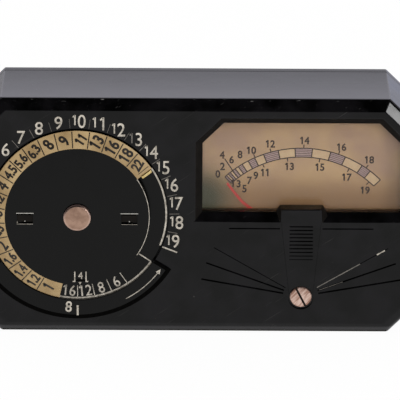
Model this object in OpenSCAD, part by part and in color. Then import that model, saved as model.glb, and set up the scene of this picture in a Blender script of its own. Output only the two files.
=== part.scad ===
// Hand-held light meter of the 1930s type, in black moulded Bakelite.
// A calculator dial of two discs turns on a stud at the left. A moving-coil meter reads behind
// the window at the right, and a selenium cell in the back cover drives it.
// Frame: X to the right, Y to the back, Z up, origin under the middle of the meter.
// Depths named _d are measured back from the front face, heights named _high stand in front of it.

/* [Case] */
// Gap from the dial tongue to the left side of the case
side_margin = 4.7; // [4:0.1:8]
// Gap from the dial tongue to the top and the bottom of the case
rim_margin = 4.4; // [3.6:0.1:6]
// Gap from the dial tongue to the slope round the window
dial_gap = 2.5; // [1.5:0.1:6]
// Gap from the slope round the window to the right side of the case
window_margin = 7.7; // [6.5:0.1:12]
// Depth from the front face to the back face
case_d = 25.4; // [25:0.1:32]
// Leg of the 45 degree cut at each corner
corner = 12.7; // [9:0.1:15]
// Width of the sloping band round the front face
bevel_in = 3.1; // [1:0.1:3.4]
// Depth of the sloping band round the front face
bevel_deep = 1.3; // [0.5:0.1:2]
// Bevel round the back face
back_bevel = 0.8; // [0.3:0.1:1.5]
// Thickness of the side walls
wall = 2.6; // [2:0.1:3.2]
// Thickness of the front wall
front_wall = 3.2; // [2.8:0.1:4]
// Thickness of the back cover
cover_t = 3.2; // [2.8:0.1:4]

/* [Window] */
// Clear width of the window
window_w = 50.9; // [46:0.1:60]
// Clear height of the window
window_h = 24.2; // [20:0.1:25]
// Gap from the clear window to the top of the case
window_drop = 6.9; // [6:0.1:9]
// Leg of the cut at the upper corners of the window
window_corner = 5.5; // [3:0.1:8]
// Slope round the window, as wide as it is deep
window_bevel = 2; // [1:0.1:2.4]
// Width of the lug that stands up into the window
lug_w = 10.3; // [8:0.1:14]
// Height of the lug above the clear window's sill
lug_rise = 2.1; // [1:0.1:4]
// How proud the lug and the ribbed bar stand
bar_proud = 0.4; // [0.2:0.1:0.8]
// Width of the ribbed strip
rib_w = 6; // [4:0.1:8]
// Pitch of the ribs
rib_pitch = 1; // [0.8:0.1:1.2]
// Number of grooves between the ribs
rib_count = 10; // [6:1:12]
// Width of the moulded groove lines
groove_w = 0.6; // [0.3:0.1:0.8]
// Angle between the groove lines of the fan
ray_step = 10.2; // [8:0.1:12]
// Reach of the fan from the zero screw
ray_r = 26; // [20:0.1:28]
// Thickness of the gasket in front of the glass
gasket_t = 0.4; // [0.2:0.1:0.6]
// Thickness of the window glass
glass_t = 1.4; // [1:0.1:2]
// How far the glass laps behind the wall all round
glass_lap = 1.5; // [1:0.1:2]
// Thickness of the sheet frame that holds the glass
retainer_t = 0.7; // [0.5:0.1:1]
// Length of the pillars under the scale plate
pillar_len = 1.5; // [1.3:0.1:2]
// Thickness of the scale plate
scale_t = 0.7; // [0.5:0.1:1]

/* [Dial] */
// Outer radius of the raised tongue on the lower disc
tongue_r = 27.6; // [26:0.1:30]
// Angle where the tongue starts, seen from the front
tongue_start = -148.5; // [-170:0.5:-120]
// Angle that the tongue covers
tongue_span = 117; // [60:0.5:160]
// Outer radius of the number ring on the upper disc
ring_r = 23; // [21:0.1:24]
// Radius of the flat middle of the upper disc
cap_r = 18.6; // [17:0.1:19]
// Thickness of the disc sheet
sheet_t = 0.5; // [0.3:0.05:0.6]
// Height of the upper disc's flat middle
cap_high = 1.6; // [1.4:0.1:2.4]
// Height of the number ring's edge
ring_high = 0.35; // [0.3:0.05:0.8]
// Angle where the cut-away of the number ring starts
cut_start = -101.5; // [-120:0.5:-80]
// Angle that the cut-away covers
cut_span = 135.5; // [60:0.5:160]
// Depth of the recess under the dial
recess_deep = 1.5; // [1.3:0.1:1.7]
// Thickness of the fibre washer under the dial
washer_t = 0.4; // [0.2:0.05:0.5]
// Radius of the fibre washer under the dial
washer_r = 8; // [6:0.1:12]
// Radius of the cone washer between the discs
cone_r = 8; // [6:0.1:12]
// Thickness of the cone washer
cone_t = 0.3; // [0.2:0.05:0.4]
// Radius of the stud that the discs turn on
stud_r = 2; // [1.5:0.1:2.5]
// Radius of the stud's head
stud_head_r = 3.65; // [3:0.05:4.5]
// Thickness of the stud's head
stud_head_t = 0.8; // [0.6:0.1:1.5]
// Radius at the middle of the speed window in the upper disc
peep_r = 16.4; // [15:0.1:17]
// Width of the speed window
peep_w = 3.4; // [2:0.1:4]
// Height of the speed window
peep_h = 2.6; // [2:0.1:3]
// Distance of the lanced finger tabs from the stud
tab_r = 13.4; // [9:0.1:14.5]
// Length of a finger tab
tab_len = 4.1; // [3:0.1:5]
// Width of a finger tab between its slits
tab_w = 1.7; // [1.2:0.1:2.5]
// Width of the slits beside a finger tab
slit_w = 0.5; // [0.3:0.1:0.7]

/* [Zero corrector] */
// Distance from the needle's pivot down to the zero screw
zero_drop = 9.7; // [9:0.1:11]
// Radius of the zero screw's head
zero_head_r = 2.8; // [2.4:0.1:3.4]
// How proud the zero screw's head stands
zero_proud = 0.7; // [0.4:0.1:1]
// Depth of the seat that the head sinks into
zero_sink = 0.5; // [0.3:0.1:1]
// Width of the screwdriver slot
slot_w = 0.8; // [0.5:0.1:1]
// Lean of the screwdriver slot from upright
slot_lean = 26.6; // [0:0.1:90]
// Radius of the zero screw's shaft
zero_shaft_r = 1.5; // [1.2:0.1:1.8]
// Offset of the eccentric pin
zero_throw = 1.2; // [1:0.05:1.3]
// Radius of the eccentric pin
zero_pin_r = 0.5; // [0.4:0.05:0.6]
// Wall of the bush that the shaft turns in
bush_wall = 0.85; // [0.6:0.05:1.1]
// Thickness of the zero arm
arm_t = 0.5; // [0.4:0.05:0.6]

/* [Meter movement] */
// Drop from the clear window's sill to the needle's pivot
pivot_drop = 12.7; // [12.5:0.1:13.5]
// Length of the needle from its pivot
needle_len = 26.1; // [20:0.1:27]
// Angle of the needle at rest, seen from the front
needle_rest = 135.2; // [130:0.1:140]
// Angle that the needle swings over
needle_sweep = 93; // [60:1:100]
// Width of the needle at its root
needle_w = 0.7; // [0.4:0.05:1]
// Thickness of the needle
needle_t = 0.3; // [0.2:0.05:0.4]
// Radius of the soft-iron core
core_r = 4.2; // [3.5:0.1:4.6]
// Width of the coil's band
coil_w = 2; // [1.5:0.1:2.5]
// Thickness of the coil former
former_t = 0.25; // [0.2:0.05:0.3]
// Thickness of the copper winding
winding_t = 0.35; // [0.3:0.05:0.4]
// Width of a pole piece beyond the bore
pole_w = 5.8; // [5.3:0.1:6]
// Half height of the pole pieces
pole_half = 6.5; // [6.2:0.1:6.8]
// Width of the magnet's legs
magnet_w = 6; // [4:0.1:6.3]
// Height of the arch's centre above the pivot
magnet_rise = 14.5; // [10:0.1:17]
// Thickness of the plate behind the magnet
plate_t = 1.2; // [1:0.1:1.5]
// Thickness of the bridges that carry the jewels
bridge_t = 0.8; // [0.6:0.1:0.9]
// Radius of the jewel screws
jewel_r = 1.5; // [1.3:0.05:1.7]
// Radius of the pivots
staff_r = 0.4; // [0.3:0.05:0.45]
// Turns of a hairspring
hair_turns = 3; // [2:1:3]
// Pitch of a hairspring's turns
hair_pitch = 0.7; // [0.5:0.05:0.7]
// Thickness of a hairspring's strip
hair_t = 0.15; // [0.1:0.01:0.2]

/* [Light cell] */
// Radius of the selenium cell
cell_r = 20.2; // [16:0.1:21]
// Thickness of the selenium cell
cell_t = 1.2; // [0.8:0.1:1.6]
// Thickness of the cell's glass
cell_glass_t = 1.2; // [0.8:0.1:1.6]
// Thickness of the collector ring
contact_t = 0.6; // [0.4:0.1:0.8]
// Thickness of the honeycomb baffle
baffle_t = 3; // [2:0.1:3.4]
// Distance between the baffle's cells
hex_pitch = 5.2; // [4:0.1:7]
// Web between the baffle's cells
hex_web = 0.8; // [0.5:0.1:1.2]
// Wall of the bezel and of the cell's cup
cell_wall = 2; // [1.5:0.1:2.4]
// Lip that holds the baffle in the bezel
bezel_lip = 1.5; // [1:0.1:2]
// Thickness of the lip and of the flanges
lip_t = 1.2; // [1:0.1:1.6]
// Room for the contact spring under the cell
spring_room = 2.4; // [2:0.1:3]
// Radius of the two lead wires
lead_r = 0.6; // [0.4:0.05:0.8]

/* [Fasteners] */
// Radius of the case screws
case_screw_r = 1.25; // [1:0.05:1.5]
// Radius of the posts that the case screws hold in
post_r = 3.2; // [2.6:0.1:3.6]
// Radius of the movement screws
movement_screw_r = 1; // [0.8:0.05:1.2]
// Radius of the pillars that the movement stands on
pillar_r = 2.8; // [2.2:0.1:2.9]
// Radius of the small screws in the scale, the poles, the bridges and the cell
small_screw_r = 0.8; // [0.6:0.05:0.9]
// Radius of the bosses under the scale pillars
boss_r = 2.2; // [1.8:0.1:2.4]

/* [Clearances] */
// Radial clearance of a running fit
run_fit = 0.06; // [0.03:0.01:0.08]
// Radial clearance round a screw or a set piece
set_fit = 0.05; // [0.03:0.01:0.1]
// Gap between the sheets of the dial
dial_clear = 0.15; // [0.1:0.01:0.2]
// Gap between the coil and the iron
air_gap = 0.4; // [0.3:0.05:0.5]
// Side clearance of the eccentric pin in its fork
fork_clear = 0.15; // [0.1:0.01:0.2]
// Least gap between pieces that pass each other inside
pass_gap = 0.4; // [0.3:0.05:0.5]

/* [Hidden] */
$fn = 64;
over = 0.1;
diag = 2 - sqrt(2);

// Front view: the case grows round the dial and the window
case_w = side_margin + 2 * tongue_r + dial_gap + 2 * window_bevel + window_w + window_margin;
dial_h = 2 * (tongue_r + rim_margin);
pillar_drop = 2.7;
meter_h = window_drop + window_h + pivot_drop + pole_half + pillar_drop + 2 * pillar_r + pass_gap + wall;
case_h = max(dial_h, meter_h);
dial_lift = 0.5;
lug_root = 0.4;
rib_drop = 1.2;
line_drop = 1.9;
line_gap = 0.3;
line_len = 13.1;
ray_count = 3;
ray_gap = 1.8;
zero_room = 0.3;
dial_x = side_margin + tongue_r - case_w / 2;
dial_z = case_h / 2 + dial_lift;
window_x = case_w / 2 - window_margin - window_bevel - window_w / 2;
sill_z = case_h - window_drop - window_h;
pivot_x = window_x;
pivot_z = sill_z - pivot_drop;
zero_z = pivot_z - zero_drop;
cell_x = dial_x;
cell_z = case_h / 2;

// Heights of the dial stack in front of the face
stud_high = cap_high + dial_clear;
front_proud = stud_high + stud_head_t;
lockwasher_t = 0.7;
nut_t = 2.2;
nut_d = front_wall + lockwasher_t;
stud_tail = 0.7;
speed_high = -recess_deep + washer_t + dial_clear;
speed_top = speed_high + sheet_t;
step_r = ring_r + dial_clear;
rim_r = step_r + sheet_t;
recess_gap = 0.2;
recess_r = rim_r + recess_gap;
cut_land = 0.1;

// The face lies so that the whole meter is centred on Y
front_y = front_proud - (case_d + front_proud) / 2;

// Depths behind the window
shell_d = case_d - cover_t;
retainer_lap = 0.6;
retainer_gap = 0.3;
pillar_inset = 0.2;
plate_gap = 0.2;
glass_d = front_wall + gasket_t;
retainer_d = glass_d + glass_t;
scale_d = retainer_d + retainer_t + pillar_len;
needle_d = scale_d - pass_gap - needle_t - plate_gap;

// Depths of the movement
small_head_t = 1.1;
small_head_r = 2 * small_screw_r;
magnet_gap = 0.7;
magnet_d = scale_d + scale_t + small_head_t + magnet_gap;
rear_room = 3.1;
plate_d = shell_d - rear_room - plate_t;
plate_back = plate_d + plate_t;
head_gap = 0.1;
bridge_gap = 0.5;
bridge_d = front_wall + bridge_gap;
arm_d = bridge_d + bridge_t + head_gap;
bush_proud = 0.2;
bush_end = front_wall + bush_proud;
clip_w = 0.8;
clip_t = 0.4;
clip_tail = 0.2;
zero_end = bush_end + head_gap + clip_t + clip_tail;
front_jewel_d = arm_d + arm_t + head_gap;
hair_gap = 0.3;
front_hair_d = front_jewel_d + hair_gap;
hair_w = 0.3;
coil_proud = 1.4;
coil_front = magnet_d - coil_proud;
coil_back = plate_back;
rear_hair_d = plate_back + pass_gap;
rear_jewel_d = rear_hair_d + hair_w + pass_gap;
rear_bridge_d = rear_jewel_d + hair_gap;
pivot_sink = 0.35;
jewel_proud = 0.2;
cup_deep = 0.4;

// Front view of the movement
coil_in = core_r + air_gap;
coil_mid = coil_in + former_t;
coil_out = coil_mid + winding_t;
bore_r = norm([coil_out, coil_w / 2]) + air_gap;
pole_out = bore_r + pole_w;
pole_gap = 2.6;
pin_r = 1;
pin_bite = 1;
strap_w = 3;
strap_t = 2;
strap_inset = 1;
magnet_out = pole_out + magnet_w;
coil_angle = needle_rest - 90;
hair_in = 1;
hair_end = hair_in + hair_turns * hair_pitch + hair_t / 2;
collet_r = hair_in - hair_t / 2;
hub_r = 1.3;
hub_proud = 0.3;
arm_r = 0.25;
weight_r = 0.55;
weight_w = 1.4;
weight_gap = 0.4;
arm_reach = 5.2;
weight_end = arm_reach - weight_gap;
arm_wall = 1.1;
fork_wall = 0.7;
fork_tip = 0.9;
fork_deep = 3;
finger_gap = 0.05;
finger_t = 0.8;
finger_w = 1;
finger = hair_end + finger_gap;
stop_r = 15;
stop_pin_r = 0.4;
stop_proud = 0.4;
stop_room = 2.5;
zero_travel = 6;
stop_turn = zero_travel + stop_room + asin((stop_pin_r + needle_w / 2) / stop_r);
pole_screw_in = 3.2;
pole_screw_x = bore_r + pole_screw_in;
pole_screw_z = 4.5;
foot_gap = 2;
foot_lap = 1;
foot_x = bore_r + foot_gap;
foot_w = 3.2;
foot_half = 2.2;
rear_half = 1.7;
rear_head_t = 0.6;
head_overhang = 0.48;
foot_screw_x = foot_x + foot_w - small_head_r + head_overhang;

// Pillars, posts and bosses
post_bite = 0.6;
post_in = (corner + sqrt(2) * (wall + post_r - post_bite)) / 2;
post_gap = 1.1;
post_d = scale_d + scale_t + post_gap;
boss_in = 4.4;
boss_drop = 1;
boss_x = window_w / 2 - boss_in;
boss_z = sill_z - window_bevel - boss_drop - boss_r;
pillar_up_x = magnet_out + pass_gap + pillar_r;
pillar_rise = 0.5;
pillar_up_z = pivot_z + pillar_rise;
pillar_low_x = 14;
plate_drop = 3;
bore_gap = 0.8;
pillar_low_z = pivot_z - pole_half - pillar_drop - pillar_r;
scale_low = boss_z - boss_r;
screw_bite = 6;
boss_bite = 1;
pole_bite = 3.5;
foot_bite = 2;
drill_room = 0.5;
head_sink = 0.2;
movement_head_t = 1.2;
movement_head_r = 2 * movement_screw_r;

// Light cell, stacked forward from the lip of the bezel
cell_room = 0.3;
cell_bore = cell_r + cell_room;
cell_tube = cell_bore + cell_wall;
cell_head_gap = 0.2;
cell_screw_r = cell_tube + cell_head_gap + small_head_r;
flange_rim = 0.3;
cell_flange = cell_screw_r + small_head_r + flange_rim;
baffle_d = case_d - lip_t - baffle_t;
cell_glass_d = baffle_d - cell_glass_t;
ring_d = cell_glass_d - contact_t;
cell_d = ring_d - cell_t;
cup_floor_d = cell_d - spring_room;
flange_extra = 0.4;
floor_extra = 0.3;
flange_t = lip_t + flange_extra;
floor_t = lip_t + floor_extra;
flange_d = shell_d - flange_t;
cup_flange_d = flange_d - floor_t;
cup_front_d = cup_floor_d - floor_t;
tongue_w = 3;
tongue_slot = 0.3;
tab_proud = 0.8;
ring_tab = cell_flange + tab_proud;
ring_w = 2;
tab_root = 1;
spring_out = 10;
spring_in = 4;
spring_t = 0.3;
spring_lap = 0.5;
tail_t = 0.4;
baffle_rim = 0.6;
spring_tab = 12.4;
spring_tail = 2.2;

// Terminals behind the movement plate
block_inset = 1;
block_x = pivot_x - magnet_out + block_inset;
block_w = 5;
block_drop = 9;
block_z = pivot_z - block_drop;
block_h = 7;
block_t = 1.6;
lug_t = 0.4;
lug_wide = 2.2;
lug_step = 3.6;
lug_out = 1.8;
lug_inset = 1;
lead_rise = 3.5;
lead_reach = 10;

// Front-view outline given a thickness between two depths behind the face
module slab(d0, d1) {
  translate([0, front_y + d1, 0])
    rotate([90, 0, 0])
      linear_extrude(d1 - d0)
        children();
}

// Round bar between two depths
module bar_at(x, z, r, d0, d1) {
  slab(d0, d1)
    translate([x, z])
      circle(r);
}

// Ring or tube between two depths
module tube_at(x, z, r_out, r_in, d0, d1) {
  slab(d0, d1)
    translate([x, z])
      difference() {
        circle(r_out);
        circle(r_in);
      }
}

// Profile of radius and height turned about an axis through the front face
module turned(x, z, turn = 360) {
  translate([x, front_y, z])
    rotate([90, 0, 0])
      rotate_extrude(angle = turn)
        children();
}

// Outline of the case, drawn in by an inset all round
module case_outline(inset) {
  w = case_w / 2 - inset;
  c = corner - inset * diag;
  low = inset;
  high = case_h - inset;
  polygon([
    [c - w, low], [w - c, low], [w, low + c], [w, high - c],
    [w - c, high], [c - w, high], [-w, high - c], [-w, low + c]
  ]);
}

// Outline of the clear window, grown all round
module window_outline(grow) {
  w = window_w / 2 + grow;
  c = window_corner + grow * diag;
  low = sill_z - grow;
  high = sill_z + window_h + grow;
  translate([window_x, 0])
    polygon([[-w, low], [w, low], [w, high - c], [w - c, high], [c - w, high], [-w, high - c]]);
}

// V-shaped groove in the front face from one front-view point to another
module groove(from, to, high = 0) {
  run = to - from;
  translate([from.x, front_y - high, from.y])
    rotate([0, -atan2(run.y, run.x), 0])
      rotate([0, 90, 0])
        cylinder(h = norm(run), r = groove_w / 2, $fn = 4);
}

// Screw driven from behind, with its head on a seat
module rear_screw(x, z, seat, r, head_r, head_t, len) {
  difference() {
    union() {
      bar_at(x, z, head_r, seat, seat + head_t);
      bar_at(x, z, r, seat - len, seat);
    }
    slab(seat + head_t / 2, seat + head_t + over)
      translate([x, z])
        square([2 * head_r + over, slot_w / 2], center = true);
  }
}

// Screw driven from the front, with its head on a seat
module front_screw(x, z, seat, r, head_r, head_t, len) {
  difference() {
    union() {
      bar_at(x, z, head_r, seat - head_t, seat);
      bar_at(x, z, r, seat, seat + len);
    }
    slab(seat - head_t - over, seat - head_t / 2)
      translate([x, z])
        square([2 * head_r + over, slot_w / 2], center = true);
  }
}

// Places that repeat
module at_posts() {
  for (x = [post_in - case_w / 2, case_w / 2 - post_in])
    for (z = [post_in, case_h - post_in])
      translate([x, 0, z])
        children();
}

module at_pillars() {
  for (side = [-1, 1]) {
    translate([pivot_x + side * pillar_up_x, 0, pillar_up_z])
      children();
    translate([pivot_x + side * pillar_low_x, 0, pillar_low_z])
      children();
  }
}

module at_bosses() {
  for (side = [-1, 1])
    translate([window_x + side * boss_x, 0, boss_z])
      children();
}

module at_cell_screws() {
  for (turn = [90, 210, 330])
    translate([cell_x + cell_screw_r * cos(turn), 0, cell_z + cell_screw_r * sin(turn)])
      children();
}

// Case block with its sloping band, before it is hollowed
module case_block() {
  hull() {
    slab(bevel_deep, shell_d)
      case_outline(0);
    slab(0, over)
      case_outline(bevel_in);
  }
}

module window_cut() {
  hull() {
    slab(-over, 0)
      window_outline(window_bevel);
    slab(window_bevel, window_bevel + over)
      window_outline(0);
  }
  slab(window_bevel, front_wall + over)
    window_outline(0);
}

// Lug that stands up into the window, wider at its root
module window_lug() {
  foot = sill_z - window_bevel;
  top = sill_z + lug_rise;
  hull() {
    slab(-bar_proud, 0)
      translate([window_x - lug_w / 2, foot - over])
        square([lug_w, top - foot]);
    slab(window_bevel, front_wall)
      translate([window_x - lug_w / 2 - window_bevel, foot - over])
        square([lug_w + 2 * window_bevel, top - foot + lug_root]);
  }
}

// Bar that narrows from the lug down to the zero screw
module sight_bar() {
  top = sill_z - window_bevel;
  low = zero_z + zero_head_r;
  slab(-bar_proud, over)
    translate([window_x, 0])
      polygon([[-rib_w / 2, low], [rib_w / 2, low], [lug_w / 2, top], [-lug_w / 2, top]]);
}

// Ribs on the bar, the line above the fan, and the fan's rays
module front_grooves() {
  rib_top = sill_z - window_bevel - rib_drop;
  for (i = [0 : rib_count - 1])
    groove([window_x - rib_w / 2, rib_top - i * rib_pitch],
           [window_x + rib_w / 2, rib_top - i * rib_pitch], bar_proud);
  line_z = sill_z - window_bevel - line_drop;
  for (side = [-1, 1]) {
    groove([window_x + side * (lug_w / 2 + line_gap), line_z],
           [window_x + side * (lug_w / 2 + line_gap + line_len), line_z]);
    for (i = [1 : ray_count]) {
      ray = [side * cos(i * ray_step), sin(i * ray_step)];
      groove([window_x, zero_z] + (zero_head_r + ray_gap) * ray, [window_x, zero_z] + ray_r * ray);
    }
  }
}

module front_case() {
  color("#1e1d1c")
    difference() {
      union() {
        difference() {
          case_block();
          slab(front_wall, shell_d + over)
            case_outline(wall);
          window_cut();
        }
        window_lug();
        sight_bar();
        intersection() {
          at_posts()
            bar_at(0, 0, post_r, post_d, shell_d);
          slab(post_d, shell_d)
            case_outline(wall / 2);
        }
        at_pillars()
          bar_at(0, 0, pillar_r, front_wall - over, plate_d);
        at_bosses()
          bar_at(0, 0, boss_r, front_wall - over, retainer_d);
      }
      front_grooves();
      bar_at(dial_x, dial_z, recess_r, -over, recess_deep);
      bar_at(dial_x, dial_z, stud_r + set_fit, 0, front_wall + over);
      bar_at(pivot_x, zero_z, zero_head_r + zero_room, -bar_proud - over, zero_sink);
      bar_at(pivot_x, zero_z, zero_shaft_r + run_fit + bush_wall, 0, front_wall + over);
      at_posts()
        bar_at(0, 0, case_screw_r + set_fit, shell_d - screw_bite - drill_room, shell_d + over);
      at_pillars()
        bar_at(0, 0, movement_screw_r + set_fit, plate_d - screw_bite - drill_room, plate_d + over);
      at_bosses()
        bar_at(0, 0, small_screw_r + set_fit, front_wall - boss_bite - drill_room, retainer_d + over);
    }
}

// Flat plate that closes the back, with the round opening for the light cell
module back_cover() {
  color("#1e1d1c")
    difference() {
      hull() {
        slab(shell_d, case_d - back_bevel)
          case_outline(0);
        slab(case_d - over, case_d)
          case_outline(back_bevel);
      }
      bar_at(cell_x, cell_z, cell_tube + set_fit, shell_d - over, case_d + over);
      at_posts() {
        bar_at(0, 0, case_screw_r + set_fit, shell_d - over, case_d + over);
        bar_at(0, 0, 2 * case_screw_r + set_fit, case_d - cover_t / 2, case_d + over);
      }
      at_cell_screws()
        bar_at(0, 0, small_screw_r + set_fit, shell_d - over, shell_d + cover_t / 2);
    }
}

module case_screws() {
  color("#8a8a88")
    at_posts()
      rear_screw(0, 0, case_d - cover_t / 2, case_screw_r, 2 * case_screw_r,
                 cover_t / 2 - head_sink, cover_t / 2 + screw_bite);
}

// Window, from the wall back to the scale
module window_gasket() {
  color("#3a352e")
    slab(front_wall, glass_d)
      difference() {
        window_outline(glass_lap);
        window_outline(set_fit);
      }
}

module window_glass() {
  color("#cfe3e0", 0.35)
    slab(glass_d, retainer_d)
      window_outline(glass_lap);
}

module glass_retainer() {
  color("#5c5a55")
    slab(retainer_d, retainer_d + retainer_t)
      difference() {
        union() {
          window_outline(glass_lap + retainer_lap);
          for (side = [-1, 1])
            translate([window_x + side * boss_x, 0]) {
              translate([0, boss_z])
                circle(boss_r);
              translate([-boss_r, boss_z])
                square([2 * boss_r, sill_z - boss_z]);
            }
        }
        window_outline(retainer_gap);
        for (side = [-1, 1])
          translate([window_x + side * boss_x, boss_z])
            circle(small_screw_r + set_fit);
      }
}

module scale_pillars() {
  color("#b08d4c")
    at_bosses()
      tube_at(0, 0, boss_r - pillar_inset, small_screw_r + set_fit, retainer_d + retainer_t, scale_d);
}

module scale_plate() {
  color("#c9ab84")
    slab(scale_d, scale_d + scale_t)
      difference() {
        union() {
          window_outline(glass_lap);
          translate([window_x - boss_x - boss_r, scale_low])
            square([2 * (boss_x + boss_r), sill_z - scale_low]);
        }
        for (side = [-1, 1])
          translate([window_x + side * boss_x, boss_z])
            circle(small_screw_r + set_fit);
      }
}

module scale_screws() {
  color("#b9a06a")
    at_bosses()
      rear_screw(0, 0, scale_d + scale_t, small_screw_r, small_head_r, small_head_t,
                 scale_d + scale_t - front_wall + boss_bite);
}

// Pins on the scale plate that stop the needle beyond each end of the scale
module pointer_stops() {
  color("#9a9a96")
    for (turn = [needle_rest + stop_turn, needle_rest - needle_sweep - stop_turn])
      bar_at(pivot_x + stop_r * cos(turn), pivot_z + stop_r * sin(turn), stop_pin_r,
             needle_d - stop_proud, scale_d);
}

// Dial, from the face of the case outwards
module dial_washer() {
  color("#6b4a2f")
    tube_at(dial_x, dial_z, washer_r, stud_r + set_fit, recess_deep - washer_t, recess_deep);
}

module speed_disc() {
  color("#191817") {
    turned(dial_x, dial_z)
      translate([stud_r + run_fit, speed_high])
        square([step_r - stud_r - run_fit, sheet_t]);
    translate([dial_x, 0, dial_z])
      rotate([0, -tongue_start, 0])
        turned(0, 0, tongue_span)
          polygon([
            [step_r - over, speed_high], [rim_r, speed_high], [rim_r, dial_clear],
            [tongue_r, dial_clear], [tongue_r, dial_clear + sheet_t],
            [step_r, dial_clear + sheet_t], [step_r, speed_top], [step_r - over, speed_top]
          ]);
  }
}

// Cone washer between the two discs
module dial_spring() {
  top = cap_high - sheet_t - dial_clear;
  color("#8f8a7c")
    turned(dial_x, dial_z)
      polygon([
        [stud_r + 2 * run_fit, top - cone_t], [stud_r + 2 * run_fit, top],
        [cone_r, speed_top + cone_t], [cone_r, speed_top]
      ]);
}

module aperture_disc() {
  color("#d8c79c")
    difference() {
      turned(dial_x, dial_z)
        polygon([
          [stud_r + run_fit, cap_high - sheet_t], [cap_r, cap_high - sheet_t],
          [ring_r, ring_high - sheet_t], [ring_r, ring_high], [cap_r, cap_high],
          [stud_r + run_fit, cap_high]
        ]);
      translate([dial_x, 0, dial_z])
        rotate([0, -cut_start, 0])
          turned(0, 0, cut_span)
            translate([cap_r + cut_land, ring_high - 2 * sheet_t])
              square([ring_r - cap_r + 1, cap_high - ring_high + 3 * sheet_t]);
      slab(-cap_high - over, over)
        translate([dial_x, dial_z - peep_r])
          square([peep_w, peep_h], center = true);
      for (side = [-1, 1])
        for (edge = [-1, 1])
          slab(-cap_high - over, over)
            translate([dial_x + side * tab_r, dial_z + edge * (tab_w + slit_w) / 2])
              square([tab_len, slit_w], center = true);
    }
}

module dial_stud() {
  round_r = 0.35;
  color("#b98a5e") {
    turned(dial_x, dial_z)
      polygon(concat(
        [[0, stud_high], [stud_head_r, stud_high]],
        [for (turn = [0 : 30 : 90])
          [stud_head_r - round_r + round_r * cos(turn), front_proud - round_r + round_r * sin(turn)]],
        [[0, front_proud]]
      ));
    bar_at(dial_x, dial_z, stud_r, -stud_high - over, nut_d + nut_t + stud_tail);
  }
}

module dial_lockwasher() {
  color("#8f8f8b")
    tube_at(dial_x, dial_z, 2 * stud_r, stud_r + set_fit, front_wall, nut_d);
}

module dial_nut() {
  color("#b3924f")
    slab(nut_d, nut_d + nut_t)
      translate([dial_x, dial_z])
        difference() {
          circle(2 * stud_r, $fn = 6);
          circle(stud_r + set_fit);
        }
}

// Zero corrector
module zero_bush() {
  color("#b3924f")
    tube_at(pivot_x, zero_z, zero_shaft_r + run_fit + bush_wall, zero_shaft_r + run_fit,
            zero_sink, bush_end);
}

module zero_screw() {
  color("#c0937a")
    difference() {
      union() {
        bar_at(pivot_x, zero_z, zero_head_r, -zero_proud, zero_sink - head_gap);
        bar_at(pivot_x, zero_z, zero_shaft_r, 0, zero_end);
        bar_at(pivot_x, zero_z + zero_throw, zero_pin_r, zero_end - over, arm_d + arm_t + pass_gap);
      }
      slab(-zero_proud - over, 0)
        translate([pivot_x, zero_z])
          rotate(slot_lean)
            square([slot_w, 2 * zero_head_r + 1], center = true);
    }
}

// Spring ring that keeps the zero screw in its bush
module zero_clip() {
  color("#8f8f8b")
    tube_at(pivot_x, zero_z, zero_shaft_r + clip_w, zero_shaft_r + set_fit,
            bush_end + head_gap, bush_end + head_gap + clip_t);
}

// Lever round the front jewel, with a fork for the eccentric pin and a finger for the hairspring
module zero_arm() {
  fork_half = zero_pin_r + fork_clear;
  tip = zero_drop - zero_throw + zero_pin_r + fork_tip;
  color("#b3924f") {
    slab(arm_d, arm_d + arm_t)
      translate([pivot_x, pivot_z])
        difference() {
          union() {
            circle(jewel_r + arm_wall);
            translate([-fork_half - fork_wall, -tip])
              square([2 * (fork_half + fork_wall), tip]);
            translate([-finger - finger_t, -finger_w / 2])
              square([finger, finger_w]);
          }
          circle(jewel_r + run_fit);
          translate([-fork_half, -tip - over])
            square([2 * fork_half, fork_deep]);
        }
    slab(arm_d, front_hair_d + hair_w)
      translate([pivot_x - finger - finger_t, pivot_z - finger_w / 2])
        square([finger_t, finger_w]);
  }
}

// Movement, from its plate forwards
module movement_plate() {
  color("#a9a9a4")
    slab(plate_d, plate_back)
      translate([pivot_x, 0])
        difference() {
          union() {
            translate([-magnet_out, pillar_low_z - pillar_r])
              square([2 * magnet_out, pivot_z + magnet_rise - pillar_low_z + pillar_r - plate_drop]);
            translate([-pillar_up_x - pillar_r, pillar_up_z - pillar_r])
              square([2 * (pillar_up_x + pillar_r), 2 * pillar_r]);
          }
          translate([0, pivot_z])
            circle(bore_r + bore_gap);
          for (side = [-1, 1]) {
            translate([side * pillar_up_x, pillar_up_z])
              circle(movement_screw_r + set_fit);
            translate([side * pillar_low_x, pillar_low_z])
              circle(movement_screw_r + set_fit);
            for (up = [-1, 1])
              translate([side * pole_screw_x, pivot_z + up * pole_screw_z])
                circle(small_screw_r + set_fit);
            translate([side * foot_screw_x, pivot_z])
              circle(small_screw_r + set_fit);
          }
        }
}

module movement_screws() {
  color("#8a8a88")
    at_pillars()
      rear_screw(0, 0, plate_back, movement_screw_r, movement_head_r, movement_head_t,
                 plate_t + screw_bite);
}

// Horseshoe magnet, its arch above the coil
module magnet() {
  color("#6d2c22")
    slab(magnet_d, plate_d)
      translate([pivot_x, pivot_z])
        difference() {
          union() {
            translate([-magnet_out, -pole_half])
              square([2 * magnet_out, magnet_rise + pole_half]);
            translate([0, magnet_rise])
              circle(magnet_out);
          }
          translate([-pole_out, -pole_half - over])
            square([2 * pole_out, magnet_rise + pole_half + over]);
          translate([0, magnet_rise])
            circle(pole_out);
        }
}

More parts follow.
